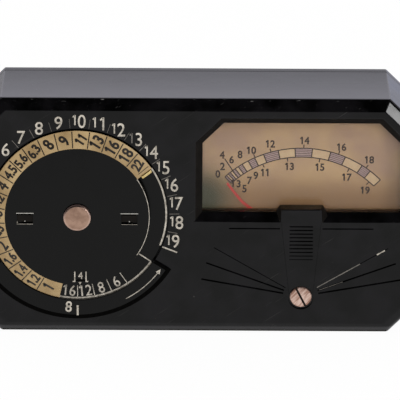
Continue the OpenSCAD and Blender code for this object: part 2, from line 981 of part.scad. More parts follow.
module pole_pieces() {
  color("#70716e")
    difference() {
      slab(magnet_d, plate_d)
        translate([pivot_x, pivot_z])
          difference() {
            square([2 * pole_out, 2 * pole_half], center = true);
            square([2 * pole_gap, 2 * pole_half + over], center = true);
            circle(bore_r);
          }
      for (side = [-1, 1]) {
        for (up = [-1, 1])
          bar_at(pivot_x + side * pole_screw_x, pivot_z + up * pole_screw_z, small_screw_r + set_fit,
                 plate_d - pole_bite - drill_room, plate_d + over);
        bar_at(pivot_x + side * foot_screw_x, pivot_z, small_screw_r + set_fit,
               magnet_d - over, plate_d + over);
      }
    }
}

module pole_screws() {
  color("#8a8a88")
    for (side = [-1, 1])
      for (up = [-1, 1])
        rear_screw(pivot_x + side * pole_screw_x, pivot_z + up * pole_screw_z, plate_back,
                   small_screw_r, small_head_r, small_head_t, plate_t + pole_bite);
}

module iron_core() {
  color("#7d7e7b")
    difference() {
      bar_at(pivot_x, pivot_z, core_r, coil_front + former_t + winding_t + air_gap,
             coil_back - former_t - winding_t - air_gap);
      core_pin();
    }
}

// Radial pin that holds the core in the bore
module core_pin() {
  mid = (magnet_d + plate_d) / 2;
  translate([pivot_x, front_y + mid, pivot_z - pole_half - over])
    cylinder(h = pole_half + over - core_r + pin_bite, r = pin_r);
}

module core_support() {
  mid = (magnet_d + plate_d) / 2;
  color("#b3924f") {
    core_pin();
    slab(mid - strap_w / 2, mid + strap_w / 2)
      translate([pivot_x - pole_out + strap_inset, pivot_z - pole_half - strap_t])
        square([2 * (pole_out - strap_inset), strap_t]);
  }
}

// Bridge in front of the coil, on two feet that stand on the pole pieces
module front_bridge() {
  color("#b3924f")
    difference() {
      union() {
        slab(bridge_d, bridge_d + bridge_t)
          translate([pivot_x - foot_x - foot_lap, pivot_z - foot_half])
            square([2 * (foot_x + foot_lap), 2 * foot_half]);
        for (side = [0, 1])
          slab(bridge_d + bridge_t, magnet_d)
            translate([pivot_x, pivot_z - foot_half])
              mirror([side, 0])
                translate([foot_x, 0])
                  square([foot_w, 2 * foot_half]);
      }
      bar_at(pivot_x, pivot_z, jewel_r + set_fit, bridge_d - over, bridge_d + bridge_t + over);
      for (side = [-1, 1])
        bar_at(pivot_x + side * foot_screw_x, pivot_z, small_screw_r + set_fit,
               bridge_d - over, magnet_d + over);
      for (side = [-1, 1])
        bar_at(pivot_x + side * foot_screw_x, pivot_z, small_head_r + set_fit,
               bridge_d - over, bridge_d + bridge_t);
    }
}

// Bridge behind the coil, with a finger for the rear hairspring
module rear_bridge() {
  color("#b3924f")
    difference() {
      union() {
        slab(rear_bridge_d, rear_bridge_d + bridge_t)
          translate([pivot_x - foot_x - foot_w, pivot_z - rear_half])
            square([2 * (foot_x + foot_w), 2 * rear_half]);
        for (side = [0, 1])
          slab(plate_back, rear_bridge_d)
            translate([pivot_x, pivot_z - rear_half])
              mirror([side, 0])
                translate([foot_x, 0])
                  square([foot_w, 2 * rear_half]);
        slab(rear_hair_d, rear_bridge_d + over)
          translate([pivot_x - finger - finger_t, pivot_z - finger_w / 2])
            square([finger_t, finger_w]);
      }
      bar_at(pivot_x, pivot_z, jewel_r + set_fit, rear_bridge_d - over,
             rear_bridge_d + bridge_t + over);
      for (side = [-1, 1])
        bar_at(pivot_x + side * foot_screw_x, pivot_z, small_screw_r + set_fit,
               plate_back - over, rear_bridge_d + bridge_t + over);
    }
}

module bridge_screws() {
  rear_seat = rear_bridge_d + bridge_t;
  color("#8a8a88")
    for (side = [-1, 1]) {
      front_screw(pivot_x + side * foot_screw_x, pivot_z, bridge_d + bridge_t, small_screw_r,
                  small_head_r, bridge_t, magnet_d - bridge_d - bridge_t + foot_bite);
      rear_screw(pivot_x + side * foot_screw_x, pivot_z, rear_seat, small_screw_r,
                 small_head_r, rear_head_t, rear_seat - plate_back + plate_t + foot_bite);
    }
}

// Jewel screws, each with a cup for its pivot
module front_jewel() {
  color("#c8b27a")
    difference() {
      bar_at(pivot_x, pivot_z, jewel_r, bridge_d - jewel_proud, front_jewel_d);
      bar_at(pivot_x, pivot_z, staff_r + run_fit, front_jewel_d - cup_deep, front_jewel_d + over);
    }
}

module rear_jewel() {
  color("#c8b27a")
    difference() {
      bar_at(pivot_x, pivot_z, jewel_r, rear_jewel_d, rear_bridge_d + bridge_t + 2 * jewel_proud);
      bar_at(pivot_x, pivot_z, staff_r + run_fit, rear_jewel_d - over, rear_jewel_d + cup_deep);
    }
}

// Moving system: needle, balance arms, coil, pivots and hairsprings
module balance_arm(turn, r, from, to) {
  translate([pivot_x, front_y + needle_d + needle_t / 2, pivot_z])
    rotate([0, -turn, 0])
      translate([from, 0, 0])
        rotate([0, 90, 0])
          cylinder(h = to - from, r = r);
}

module needle() {
  color("#b3261e") {
    slab(needle_d, needle_d + needle_t)
      translate([pivot_x, pivot_z])
        rotate(needle_rest)
          polygon([
            [hub_r - over, -needle_w / 2], [needle_len, -needle_w / 5],
            [needle_len, needle_w / 5], [hub_r - over, needle_w / 2]
          ]);
    tube_at(pivot_x, pivot_z, hub_r, staff_r, needle_d - hub_proud, needle_d + needle_t + hub_proud);
    for (turn = [90, 180, 270])
      balance_arm(needle_rest + turn, arm_r, hub_r - over, arm_reach);
  }
}

module balance_weights() {
  color("#b08d4c")
    for (turn = [90, 180, 270])
      difference() {
        balance_arm(needle_rest + turn, weight_r, weight_end - weight_w, weight_end);
        balance_arm(needle_rest + turn, arm_r, weight_end - weight_w - over, arm_reach);
      }
}

// Rectangular band round the core, between an inner and an outer half width
module coil_band(half_in, half_out) {
  ends = half_out - coil_in;
  inner = half_in - coil_in;
  front_in = coil_front + former_t + winding_t;
  back_in = coil_back - former_t - winding_t;
  translate([pivot_x, front_y, pivot_z])
    rotate([0, -coil_angle, 0])
      difference() {
        translate([-half_out, front_in - ends, -coil_w / 2])
          cube([2 * half_out, back_in - front_in + 2 * ends, coil_w]);
        translate([-half_in, front_in - inner, -coil_w])
          cube([2 * half_in, back_in - front_in + 2 * inner, 2 * coil_w]);
      }
}

module coil_former() {
  color("#b8babb")
    coil_band(coil_in, coil_mid);
}

module coil_winding() {
  color("#a8562f")
    coil_band(coil_mid, coil_out);
}

module front_pivot() {
  color("#a3a5a6") {
    bar_at(pivot_x, pivot_z, staff_r, front_jewel_d - pivot_sink, coil_front);
    bar_at(pivot_x, pivot_z, collet_r, front_hair_d, front_hair_d + hair_w);
  }
}

module rear_pivot() {
  color("#a3a5a6") {
    bar_at(pivot_x, pivot_z, staff_r, coil_back, rear_jewel_d + pivot_sink);
    bar_at(pivot_x, pivot_z, collet_r, rear_hair_d, rear_hair_d + hair_w);
  }
}

// Flat spiral of springy strip, ending at the left
module hairspring(d) {
  step = 15;
  last = hair_turns * 360 / step;
  edge = function(i, off)
    let (turn = 180 + i * step, r = hair_in + hair_pitch * i * step / 360 + off)
      [r * cos(turn), r * sin(turn)];
  slab(d, d + hair_w)
    translate([pivot_x, pivot_z])
      polygon(concat(
        [for (i = [0 : last]) edge(i, hair_t / 2)],
        [for (i = [last : -1 : 0]) edge(i, -hair_t / 2)]
      ));
}

module front_hairspring() {
  color("#a57f4a")
    hairspring(front_hair_d);
}

module rear_hairspring() {
  color("#a57f4a")
    hairspring(rear_hair_d);
}

// Light cell, from its bezel forwards
module cell_bezel() {
  color("#1e1d1c")
    difference() {
      union() {
        tube_at(cell_x, cell_z, cell_tube, cell_bore, flange_d, case_d);
        tube_at(cell_x, cell_z, cell_bore + over, cell_bore - bezel_lip, case_d - lip_t, case_d);
        tube_at(cell_x, cell_z, cell_flange, cell_bore, flange_d, shell_d);
      }
      at_cell_screws()
        bar_at(0, 0, small_screw_r + set_fit, flange_d - over, shell_d + over);
    }
}

// Honeycomb that limits the angle of the light
module cell_baffle() {
  reach = cell_r - hex_pitch / 2 - baffle_rim;
  rows = ceil(cell_r / hex_pitch);
  hex_r = (hex_pitch - hex_web) / sqrt(3);
  color("#242322")
    slab(baffle_d, case_d - lip_t)
      translate([cell_x, cell_z])
        difference() {
          circle(cell_bore - set_fit);
          for (i = [-rows : rows])
            for (j = [-rows : rows])
              let (x = hex_pitch * (i + j / 2), y = hex_pitch * j * sqrt(3) / 2)
                if (norm([x, y]) < reach)
                  translate([x, y])
                    rotate(30)
                      circle(hex_r, $fn = 6);
        }
}

module cell_glass() {
  color("#cfe3e0", 0.35)
    bar_at(cell_x, cell_z, cell_bore - set_fit, cell_glass_d, baffle_d);
}

// Collector ring with a tab that leaves through the cup's wall
module cell_ring() {
  color("#b3924f") {
    tube_at(cell_x, cell_z, cell_r, cell_r - ring_w, ring_d, cell_glass_d);
    slab(ring_d, cell_glass_d)
      translate([cell_x + cell_r - tab_root, cell_z - tongue_w / 2])
        square([ring_tab - cell_r + tab_root, tongue_w]);
  }
}

module selenium_cell() {
  color("#4a4c52")
    bar_at(cell_x, cell_z, cell_r, cell_d, ring_d);
}

// Cone spring under the cell, with a tail through the cup's floor
module cell_spring() {
  color("#a98a4f") {
    turned(cell_x, cell_z)
      polygon([
        [spring_out, -cup_floor_d], [spring_out, -cup_floor_d - spring_t],
        [spring_in, -cell_d], [spring_in, -cell_d + spring_t]
      ]);
    slab(cup_floor_d, cup_floor_d + spring_t)
      translate([cell_x + spring_out - spring_lap, cell_z - tongue_w / 2])
        square([spring_tab - spring_out + spring_lap, tongue_w]);
    slab(cup_front_d - spring_tail, cup_floor_d + spring_t)
      translate([cell_x + spring_tab - tail_t, cell_z - tongue_w / 2])
        square([tail_t, tongue_w]);
  }
}

// Insulating cup that closes the cell from inside
module cell_cup() {
  color("#5a3a22")
    difference() {
      union() {
        bar_at(cell_x, cell_z, cell_tube, cup_front_d, flange_d);
        bar_at(cell_x, cell_z, cell_flange, cup_flange_d, flange_d);
      }
      bar_at(cell_x, cell_z, cell_bore, cup_floor_d, flange_d + over);
      slab(ring_d - tongue_slot, flange_d + over)
        translate([cell_x + cell_r - tab_root, cell_z - tongue_w / 2 - tongue_slot])
          square([ring_tab - cell_r + tab_root, tongue_w + 2 * tongue_slot]);
      slab(cup_front_d - over, cup_floor_d + over)
        translate([cell_x + spring_tab - tail_t - tongue_slot, cell_z - tongue_w / 2 - tongue_slot])
          square([tail_t + 2 * tongue_slot, tongue_w + 2 * tongue_slot]);
      at_cell_screws()
        bar_at(0, 0, small_screw_r + set_fit, cup_flange_d - over, flange_d + over);
    }
}

module cell_screws() {
  color("#8a8a88")
    at_cell_screws()
      front_screw(0, 0, cup_flange_d, small_screw_r, small_head_r, small_head_t,
                  shell_d - cup_flange_d + cover_t / 2 - head_sink);
}

// Terminals and the two leads from the cell
module terminal_block() {
  color("#5a3a22")
    slab(plate_back, plate_back + block_t)
      translate([block_x, block_z])
        square([block_w, block_h]);
}

module solder_lugs() {
  color("#b9a06a")
    for (i = [0, 1])
      slab(plate_back + block_t, plate_back + block_t + lug_t)
        translate([block_x - lug_out, block_z + block_h / 2 + (i - 0.5) * lug_step - lug_wide / 2])
          square([block_w + lug_out - lug_inset, lug_wide]);
}

// Point and heading on a smooth curve through two ends and two pulls, and the wire along it
function on_curve(ends, t) =
  ends[0] * (1 - t) ^ 3 + ends[1] * 3 * t * (1 - t) ^ 2 + ends[2] * 3 * t ^ 2 * (1 - t)
  + ends[3] * t ^ 3;

function heading(ends, t) =
  (ends[1] - ends[0]) * (1 - t) ^ 2 + (ends[2] - ends[1]) * 2 * t * (1 - t)
  + (ends[3] - ends[2]) * t ^ 2;

module wire(ends) {
  steps = 18;
  sides = 8;
  ring = function(t)
    let (
      ahead = heading(ends, t) / norm(heading(ends, t)),
      across = cross(ahead, [0, 0.3, 1]),
      u = across / norm(across),
      v = cross(ahead, u)
    )
    [for (k = [0 : sides - 1])
      on_curve(ends, t) + lead_r * (cos(k * 360 / sides) * u + sin(k * 360 / sides) * v)];
  points = [for (i = [0 : steps]) each ring(i / steps)];
  skin = [
    for (i = [0 : steps - 1])
      for (k = [0 : sides - 1])
        let (a = i * sides + k, b = i * sides + (k + 1) % sides)
          each [[a, b, a + sides], [b, b + sides, a + sides]]
  ];
  near_end = [for (k = [1 : sides - 2]) [0, k + 1, k]];
  far = steps * sides;
  far_end = [for (k = [1 : sides - 2]) [far, far + k, far + k + 1]];
  polyhedron(points, concat(skin, near_end, far_end));
}

// Place of a lead's end at its solder lug
function lug_end(i) = [
  block_x - lug_out,
  front_y + plate_back + block_t + lug_t / 2,
  block_z + block_h / 2 + (i - 0.5) * lug_step
];

module lead_positive() {
  start = [cell_x + ring_tab, front_y + (ring_d + cell_glass_d) / 2, cell_z];
  stop = lug_end(1);
  color("#8c2f28")
    wire([start, start + [lead_rise, 0, 0], stop - [lead_reach - 1, 0, 0], stop]);
}

module lead_negative() {
  tail_d = cup_front_d - spring_tail + lead_r;
  start = [cell_x + spring_tab, front_y + tail_d, cell_z];
  stop = lug_end(0);
  bend = cell_flange - spring_tab + lead_reach;
  color("#2e2c2a")
    wire([start, start + [bend, 0, 0], stop - [lead_reach, 0, 0], stop]);
}

front_case();
back_cover();
case_screws();
window_gasket();
window_glass();
glass_retainer();
scale_pillars();
scale_plate();
scale_screws();
pointer_stops();
dial_washer();
speed_disc();
dial_spring();
aperture_disc();
dial_stud();
dial_lockwasher();
dial_nut();
zero_bush();
zero_screw();
zero_clip();
zero_arm();
movement_plate();
movement_screws();
magnet();
pole_pieces();
pole_screws();
iron_core();
core_support();
front_bridge();
rear_bridge();
bridge_screws();
front_jewel();
rear_jewel();
needle();
balance_weights();
coil_former();
coil_winding();
front_pivot();
rear_pivot();
front_hairspring();
rear_hairspring();
cell_bezel();
cell_baffle();
cell_glass();
cell_ring();
selenium_cell();
cell_spring();
cell_cup();
cell_screws();
terminal_block();
solder_lugs();
lead_positive();
lead_negative();
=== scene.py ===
import math

import bpy
from mathutils import Matrix, Vector


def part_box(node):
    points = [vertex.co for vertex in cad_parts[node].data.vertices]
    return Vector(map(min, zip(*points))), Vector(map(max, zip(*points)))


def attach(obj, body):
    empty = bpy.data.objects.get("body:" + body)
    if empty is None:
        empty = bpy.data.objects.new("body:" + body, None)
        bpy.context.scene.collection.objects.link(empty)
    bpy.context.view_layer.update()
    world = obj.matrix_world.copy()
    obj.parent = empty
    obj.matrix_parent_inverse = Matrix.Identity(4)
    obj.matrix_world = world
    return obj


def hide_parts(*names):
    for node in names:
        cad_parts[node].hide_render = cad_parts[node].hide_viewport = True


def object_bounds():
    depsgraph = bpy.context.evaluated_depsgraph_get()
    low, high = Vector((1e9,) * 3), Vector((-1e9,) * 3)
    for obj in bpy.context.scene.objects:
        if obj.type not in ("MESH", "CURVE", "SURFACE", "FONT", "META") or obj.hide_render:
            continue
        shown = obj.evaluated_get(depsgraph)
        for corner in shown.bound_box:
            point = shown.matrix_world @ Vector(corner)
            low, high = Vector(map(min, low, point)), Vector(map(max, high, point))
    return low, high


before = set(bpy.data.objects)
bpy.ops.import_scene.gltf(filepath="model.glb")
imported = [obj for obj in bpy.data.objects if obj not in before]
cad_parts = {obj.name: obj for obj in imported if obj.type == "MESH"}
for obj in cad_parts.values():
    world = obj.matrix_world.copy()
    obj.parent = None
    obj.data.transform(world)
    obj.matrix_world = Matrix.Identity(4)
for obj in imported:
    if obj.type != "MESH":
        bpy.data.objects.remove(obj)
cad_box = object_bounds()

# Front case
# The box of the meter, one compression moulding in black Bakelite with its corners cut off. The mould
# gives it the sloping band, the dial's round well, the window and a ribbed sight bar between fanned lines.
MM = 0.001
hair = MM / 50  # slack within which a point counts as lying on a plane or line
case_low, case_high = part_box("front_case")
glass_low, glass_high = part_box("window_glass")
stud_low, stud_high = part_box("dial_stud")
zero_low, zero_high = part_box("zero_screw")
case_middle = (case_low + case_high) / 2
bar_proud = 0.4 * MM
face_y = case_low.y + bar_proud
corner_cut = 12.7 * MM
corner_draft = 0.7 * MM
band_width = 3.1 * MM
band_fall = 1.3 * MM
case_wall = 2.6 * MM
face_wall = 3.2 * MM
edge_round = 0.3 * MM
corner_round = 0.75 * MM
foot_round = 1.5 * MM
diagonal = 2 - math.sqrt(2)  # what a corner's cut loses for each step inwards


def settle():
    """Put the place of a new primitive into its mesh, and hand it back."""
    bpy.ops.object.transform_apply(location=True, rotation=True, scale=True)
    return bpy.context.object


def add_block(name, low, high):
    """A block between two corners, ready to be shaped."""
    low = Vector(low)
    high = Vector(high)
    bpy.ops.object.select_all(action="DESELECT")
    bpy.ops.mesh.primitive_cube_add(size=1, location=(low + high) / 2, scale=high - low)
    block = settle()
    block.name = name
    block.data.name = name
    return block


def take(piece):
    """Make a piece the only selected and active object."""
    bpy.ops.object.select_all(action="DESELECT")
    piece.select_set(True)
    bpy.context.view_layer.objects.active = piece


def pick(piece, kind, wanted):
    """Go into edit mode with the wanted faces, or the edges between wanted ends, selected."""
    take(piece)
    bpy.ops.object.mode_set(mode="EDIT")
    bpy.ops.mesh.select_mode(type=kind)
    bpy.ops.mesh.select_all(action="DESELECT")
    bpy.ops.object.mode_set(mode="OBJECT")
    points = piece.data.vertices
    if kind == "FACE":
        for face in piece.data.polygons:
            face.select = wanted(face.center, face.normal)
    else:
        for edge in piece.data.edges:
            edge.select = wanted(points[edge.vertices[0]].co, points[edge.vertices[1]].co)
    bpy.ops.object.mode_set(mode="EDIT")


def round_off(piece, offset, segments, wanted):
    """Round the edges between wanted ends, or cut them off with a single segment."""
    pick(piece, "EDGE", wanted)
    bpy.ops.mesh.bevel(offset=offset, segments=segments, clamp_overlap=False)
    bpy.ops.object.mode_set(mode="OBJECT")


def resize(piece, kind, share, centre, wanted):
    """Draw the wanted faces or edges in, or spread them, about a centre."""
    pick(piece, kind, wanted)
    bpy.ops.transform.resize(value=share, center_override=centre)
    bpy.ops.object.mode_set(mode="OBJECT")


def carve(piece, tool, operation="DIFFERENCE"):
    """Cut a tool out of a piece, or grow it on, and throw the tool away."""
    cut = piece.modifiers.new("carve", "BOOLEAN")
    cut.operation = operation
    cut.object = tool
    cut.solver = "EXACT"
    take(piece)
    bpy.ops.object.modifier_apply(modifier=cut.name)
    bpy.data.objects.remove(tool)


def gather(pieces):
    """Join pieces into the first of them."""
    bpy.ops.object.select_all(action="DESELECT")
    for piece in pieces:
        piece.select_set(True)
    bpy.context.view_layer.objects.active = pieces[0]
    bpy.ops.object.join()
    return pieces[0]


def smooth(piece):
    """Shade a piece smooth over its shallow edges, with its large faces keeping their flatness."""
    take(piece)
    bpy.ops.object.shade_smooth_by_angle(angle=math.radians(30))
    even = piece.modifiers.new("even", "WEIGHTED_NORMAL")
    even.keep_sharp = True
    bpy.ops.object.modifier_apply(modifier=even.name)


def case_block(name, inset, front, back, cut=corner_cut):
    """A slab with the case's outline, drawn in by an inset, between two depths."""
    slab = add_block(
        name,
        (case_low.x + inset, front, case_low.z + inset),
        (case_high.x - inset, back, case_high.z - inset),
    )
    round_off(slab, cut - inset * diagonal, 1, lambda a, b: abs(a.y - b.y) > hair)
    return slab


def on_band(a, b):
    """Does an edge lie on the outer line of the sloping band?"""
    return max(abs(point.y - face_y - band_fall) for point in (a, b)) < hair


front_case = case_block("front_shell", 0, face_y + band_fall, case_high.y)

# corner cuts: they widen a little towards the back
for axis in (0, 2):
    share = [1, 1, 1]
    share[axis] = 1 - corner_draft / (case_middle[axis] - case_low[axis] - corner_cut)
    resize(
        front_case,
        "EDGE",
        share,
        case_middle,
        lambda a, b: min(a.y, b.y) > case_high.y - hair and abs(a[2 - axis] - b[2 - axis]) < hair,
    )

# band: the face stands proud of it, and the rear edge has a fine rounding
pick(front_case, "FACE", lambda middle, normal: normal.y < -0.9)
bpy.ops.mesh.inset(thickness=band_width, depth=0)
bpy.ops.transform.translate(value=(0, -band_fall, 0))
bpy.ops.object.mode_set(mode="OBJECT")
round_off(front_case, edge_round / 3, 2, lambda a, b: min(a.y, b.y) > case_high.y - hair)

# the other edges by their radius: all of them, the upper corners of the band, and the foot
roundings = (
    (edge_round, lambda a, b: max(a.y, b.y) < case_high.y - edge_round or abs(a.y - b.y) > edge_round),
    (
        corner_round - edge_round,
        lambda a, b: on_band(a, b) and min(a.z, b.z) > case_middle.z and abs(a.z - b.z) > hair,
    ),
    (foot_round, lambda a, b: on_band(a, b) and max(a.z, b.z) < case_low.z + corner_cut + hair),
)
for radius, wanted in roundings:
    pick(front_case, "EDGE", wanted)
    bpy.ops.transform.edge_bevelweight(value=radius / foot_round)
    bpy.ops.object.mode_set(mode="OBJECT")
rounding = front_case.modifiers.new("rounding", "BEVEL")
rounding.limit_method = "WEIGHT"
rounding.width = foot_round
rounding.segments = 4
rounding.use_clamp_overlap = False
bpy.ops.object.modifier_apply(modifier=rounding.name)
carve(front_case, case_block("hollow", case_wall, face_y + face_wall, case_high.y + MM))

# window: a hole with cut upper corners and sides that slope in from the face
glass_lap = 1.5 * MM
window_slope = 2 * MM
window_corner = 5.5 * MM
window_low = Vector((glass_low.x + glass_lap, 0, glass_low.z + glass_lap))
window_high = Vector((glass_high.x - glass_lap, 0, glass_high.z - glass_lap))
window_x = (window_low.x + window_high.x) / 2
sill_z = window_low.z - window_slope
hole = add_block(
    "window_hole",
    (window_low.x - window_slope, face_y - MM, sill_z),
    (window_high.x + window_slope, face_y, window_high.z + window_slope),
)
hole_corner = window_corner + window_slope * diagonal
round_off(hole, hole_corner, 1, lambda a, b: abs(a.y - b.y) > hair and a.z > window_low.z)
pick(hole, "FACE", lambda middle, normal: normal.y > 0.9)
bpy.ops.mesh.inset(thickness=window_slope, depth=0)
bpy.ops.transform.translate(value=(0, window_slope, 0))
bpy.ops.mesh.extrude_region_move(TRANSFORM_OT_translate={"value": (0, face_wall, 0)})
bpy.ops.object.mode_set(mode="OBJECT")
carve(front_case, hole)


def on_window_rim(point):
    """Is a point on the upper edge of the window's slope?"""
    inside_x = abs(point.x - window_x) < (window_high.x - window_low.x) / 2 + window_slope + hair
    inside_z = sill_z - hair < point.z < window_high.z + window_slope + hair
    return abs(point.y - face_y) < hair and inside_x and inside_z


round_off(front_case, edge_round, 3, lambda a, b: on_window_rim(a) and on_window_rim(b))

# lug: it stands on the sill in the middle of the window, its root spreading to the sides and down
lug_width = 10.3 * MM
lug_top = window_low.z + 1.5 * MM
lug_root_top = 11 * MM
lug_root_low = 15.4 * MM
lug_lap = 0.1 * MM
lug = add_block(
    "lug",
    (window_x - lug_root_low / 2, face_y + window_slope, sill_z - lug_lap),
    (window_x + lug_root_low / 2, face_y + face_wall, lug_top),
)
root_share = (lug_root_top / lug_root_low, 1, 1)
resize(lug, "FACE", root_share, (window_x, 0, lug_top), lambda middle, normal: normal.z > 0.9)
pick(lug, "FACE", lambda middle, normal: normal.y < -0.9)
bpy.ops.mesh.extrude_region_move(TRANSFORM_OT_translate={"value": (0, -window_slope - bar_proud, 0)})
bpy.ops.object.mode_set(mode="OBJECT")
for upper, spread in ((True, lug_root_top), (False, lug_root_low)):
    resize(
        lug,
        "EDGE",
        (lug_width / spread, 1, 1),
        (window_x, 0, sill_z),
        lambda a, b: max(a.y, b.y) < face_y and abs(a.z - b.z) < hair and (a.z > sill_z + MM) == upper,
    )
round_off(lug, edge_round, 3, lambda a, b: min(a.y, b.y) < face_y and max(a.z, b.z) > sill_z + MM)
carve(front_case, lug, "UNION")

# sight bar: a low tapering bar from the lug down to the zero screw
bar_low_width = 6 * MM
zero_x = (zero_low.x + zero_high.x) / 2
zero_z = (zero_low.z + zero_high.z) / 2
bar = add_block(
    "sight_bar",
    (window_x - lug_width / 2, face_y - bar_proud, zero_z),
    (window_x + lug_width / 2, face_y + MM, sill_z),
)
bar_share = (bar_low_width / lug_width, 1, 1)
resize(bar, "FACE", bar_share, (window_x, 0, zero_z), lambda middle, normal: normal.z < -0.9)
round_off(bar, edge_round / 2, 2, lambda a, b: max(a.y, b.y) < face_y)
carve(front_case, bar, "UNION")

# dial well and the seat of the zero screw
dial_x = (stud_low.x + stud_high.x) / 2
dial_z = (stud_low.z + stud_high.z) / 2
well_radius = 23.4 * MM
well_deep = 1.5 * MM
well_edge = 0.1 * MM
stud_radius = 2 * MM
seat_radius = 3.25 * MM
seat_drop = 0.35 * MM
seat_deep = 0.5 * MM
bush_radius = 2.75 * MM


def outward(angle):
    """The direction in the face at an angle in degrees from the right."""
    return Vector((math.cos(math.radians(angle)), 0, math.sin(math.radians(angle))))


def turn(name, axis, profile, start=0, sweep=360, steps=96):
    """Turn a profile of (radius, height above the face) points about an axis through the face."""
    bpy.ops.object.select_all(action="DESELECT")
    fill = "NOTHING" if sweep == 360 else "NGON"
    bpy.ops.mesh.primitive_circle_add(vertices=len(profile), radius=MM, fill_type=fill)
    piece = bpy.context.object
    piece.name = name
    piece.data.name = name
    middle = Vector((axis[0], face_y, axis[1]))
    for point, (radius, height) in zip(piece.data.vertices, profile):
        point.co = middle + radius * outward(start) + Vector((0, -height, 0))
    bpy.ops.object.mode_set(mode="EDIT")
    bpy.ops.mesh.select_all(action="SELECT")
    bpy.ops.mesh.spin(steps=steps, angle=math.radians(sweep), center=middle, axis=(0, 1, 0))
    bpy.ops.mesh.select_all(action="SELECT")
    bpy.ops.mesh.remove_doubles(threshold=MM / 1000)
    bpy.ops.mesh.normals_make_consistent(inside=False)
    bpy.ops.object.mode_set(mode="OBJECT")
    return piece


def tube(inner, outer, low, high):
    """The profile of a plain ring, or of a rod where the inner radius is 0."""
    return [(inner, low), (outer, low), (outer, high), (inner, high)]


through = -2 * face_wall
well = [
    (stud_radius, through), (stud_radius, -well_deep), (well_radius, -well_deep),
    (well_radius, -well_edge), (well_radius + well_edge, 0), (well_radius + well_edge, MM),
    (0, MM), (0, through),
]
carve(front_case, turn("dial_well", (dial_x, dial_z), well, steps=128))
seat = [
    (bush_radius, through), (bush_radius, -seat_deep), (seat_radius, -seat_deep),
    (seat_radius, 2 * bar_proud), (0, 2 * bar_proud), (0, through),
]
carve(front_case, turn("zero_seat", (zero_x, zero_z - seat_drop), seat, steps=48))

# posts inside for the cover's screws, pillars for the movement, and bosses for the scale plate
screw_x = 52.47 * MM
screw_zs = (10.03 * MM, 53.97 * MM)
pivot_x = window_x
pivot_z = 20.2 * MM
inner_y = face_y - case_high.y
post_radius = 3.2 * MM
post_start = -9 * MM
pillar_radius = 2.8 * MM
pillar_end = -17.9 * MM
pillar_places = ((20.7, 0.5), (14, -12))
boss_radius = 2.2 * MM
boss_reach = 21.05 * MM
boss_z = sill_z - 3.2 * MM
plate_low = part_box("scale_plate")[0]
plate_top = face_y - plate_low.y
column_lap = 0.2 * MM
columns = []
for side in (-1, 1):
    columns += [(side * screw_x, post_z, post_radius, post_start, inner_y) for post_z in screw_zs]
    for reach, rise in pillar_places:
        pillar_x = pivot_x + side * reach * MM
        columns.append((pillar_x, pivot_z + rise * MM, pillar_radius, -face_wall, pillar_end))
    columns.append((pivot_x + side * boss_reach, boss_z, boss_radius, -face_wall, plate_top))
for column_x, column_z, radius, front, back in columns:
    column_line = tube(0, radius, front + column_lap, back)
    carve(front_case, turn("column", (column_x, column_z), column_line, steps=32), "UNION")

# grooves: ribs across the sight bar, shallower where it is worn low down, a line each side of it, and
# three rays each side of the screw
rib_width = 6 * MM
rib_pitch = 1 * MM
rib_drop = 1.2 * MM
rib_full = 6
rib_fade = 7
rib_groove = 0.36 * MM
line_groove = 0.36 * MM
line_z = sill_z - 1.9 * MM
line_gap = 0.3 * MM
line_length = 13.1 * MM
ray_step = 10.2
ray_start = 4.6 * MM
ray_end = 26 * MM
ray_grooves = (0.45 * MM, 0.42 * MM, 0.22 * MM)


def add_groove(start, end, surface, width):
    """A four-sided bar that leaves a V groove between two (x, z) points of a surface."""
    run = Vector((end[0] - start[0], 0, end[1] - start[1]))
    bpy.ops.object.select_all(action="DESELECT")
    bpy.ops.mesh.primitive_cylinder_add(
        vertices=4,
        radius=width / 2,
        depth=run.length,
        location=((start[0] + end[0]) / 2, surface, (start[1] + end[1]) / 2),
        rotation=(0, math.atan2(run.x, run.z), 0),
    )
    return settle()


grooves = []
for rib in range(10):
    rib_z = sill_z - rib_drop - rib * rib_pitch
    left = (window_x - rib_width / 2, rib_z)
    right = (window_x + rib_width / 2, rib_z)
    width = rib_groove * min(1, (rib_full + rib_fade - rib) / rib_fade)
    grooves.append(add_groove(left, right, face_y - bar_proud, width))
for side in (-1, 1):
    near = window_x + side * (lug_width / 2 + line_gap)
    grooves.append(add_groove((near, line_z), (near + side * line_length, line_z), face_y, line_groove))
    for ray, width in enumerate(ray_grooves):
        lean = math.radians((ray + 1) * ray_step)
        out_x = side * math.cos(lean)
        out_z = math.sin(lean)
        inner = (zero_x + ray_start * out_x, zero_z + ray_start * out_z)
        outer = (zero_x + ray_end * out_x, zero_z + ray_end * out_z)
        grooves.append(add_groove(inner, outer, face_y, width))
carve(front_case, gather(grooves))
smooth(front_case)


def srgb(code):
    """A hex colour as the linear values that the shader works in."""
    parts = [int(code[i:i + 2], 16) / 255 for i in (1, 3, 5)]
    return [p / 12.92 if p <= 0.04045 else ((p + 0.055) / 1.055) ** 2.4 for p in parts] + [1]


def plug(node, sockets):
    """Fill sockets of a node, each with a value, an output, or a node for its first output in use."""
    for key, value in sockets.items():
        if isinstance(value, bpy.types.Node):
            value = next(output for output in value.outputs if output.enabled)
        if isinstance(value, bpy.types.NodeSocket):
            node.id_data.links.new(value, node.inputs[key])
        else:
            node.inputs[key].default_value = value


def add_node(tree, kind, sockets=None, **settings):
    """Add a shader node with its settings, its sockets filled."""
    node = tree.nodes.new("ShaderNode" + kind)
    for key, value in settings.items():
        setattr(node, key, value)
    plug(node, sockets or {})
    return node


def new_finish(name, **sockets):
    """A new material with its Principled shader, some of its sockets set."""
    finish = bpy.data.materials.new(name)
    finish.use_nodes = True
    shader = finish.node_tree.nodes["Principled BSDF"]
    plug(shader, {key.replace("_", " "): value for key, value in sockets.items()})
    return finish, finish.node_tree, shader


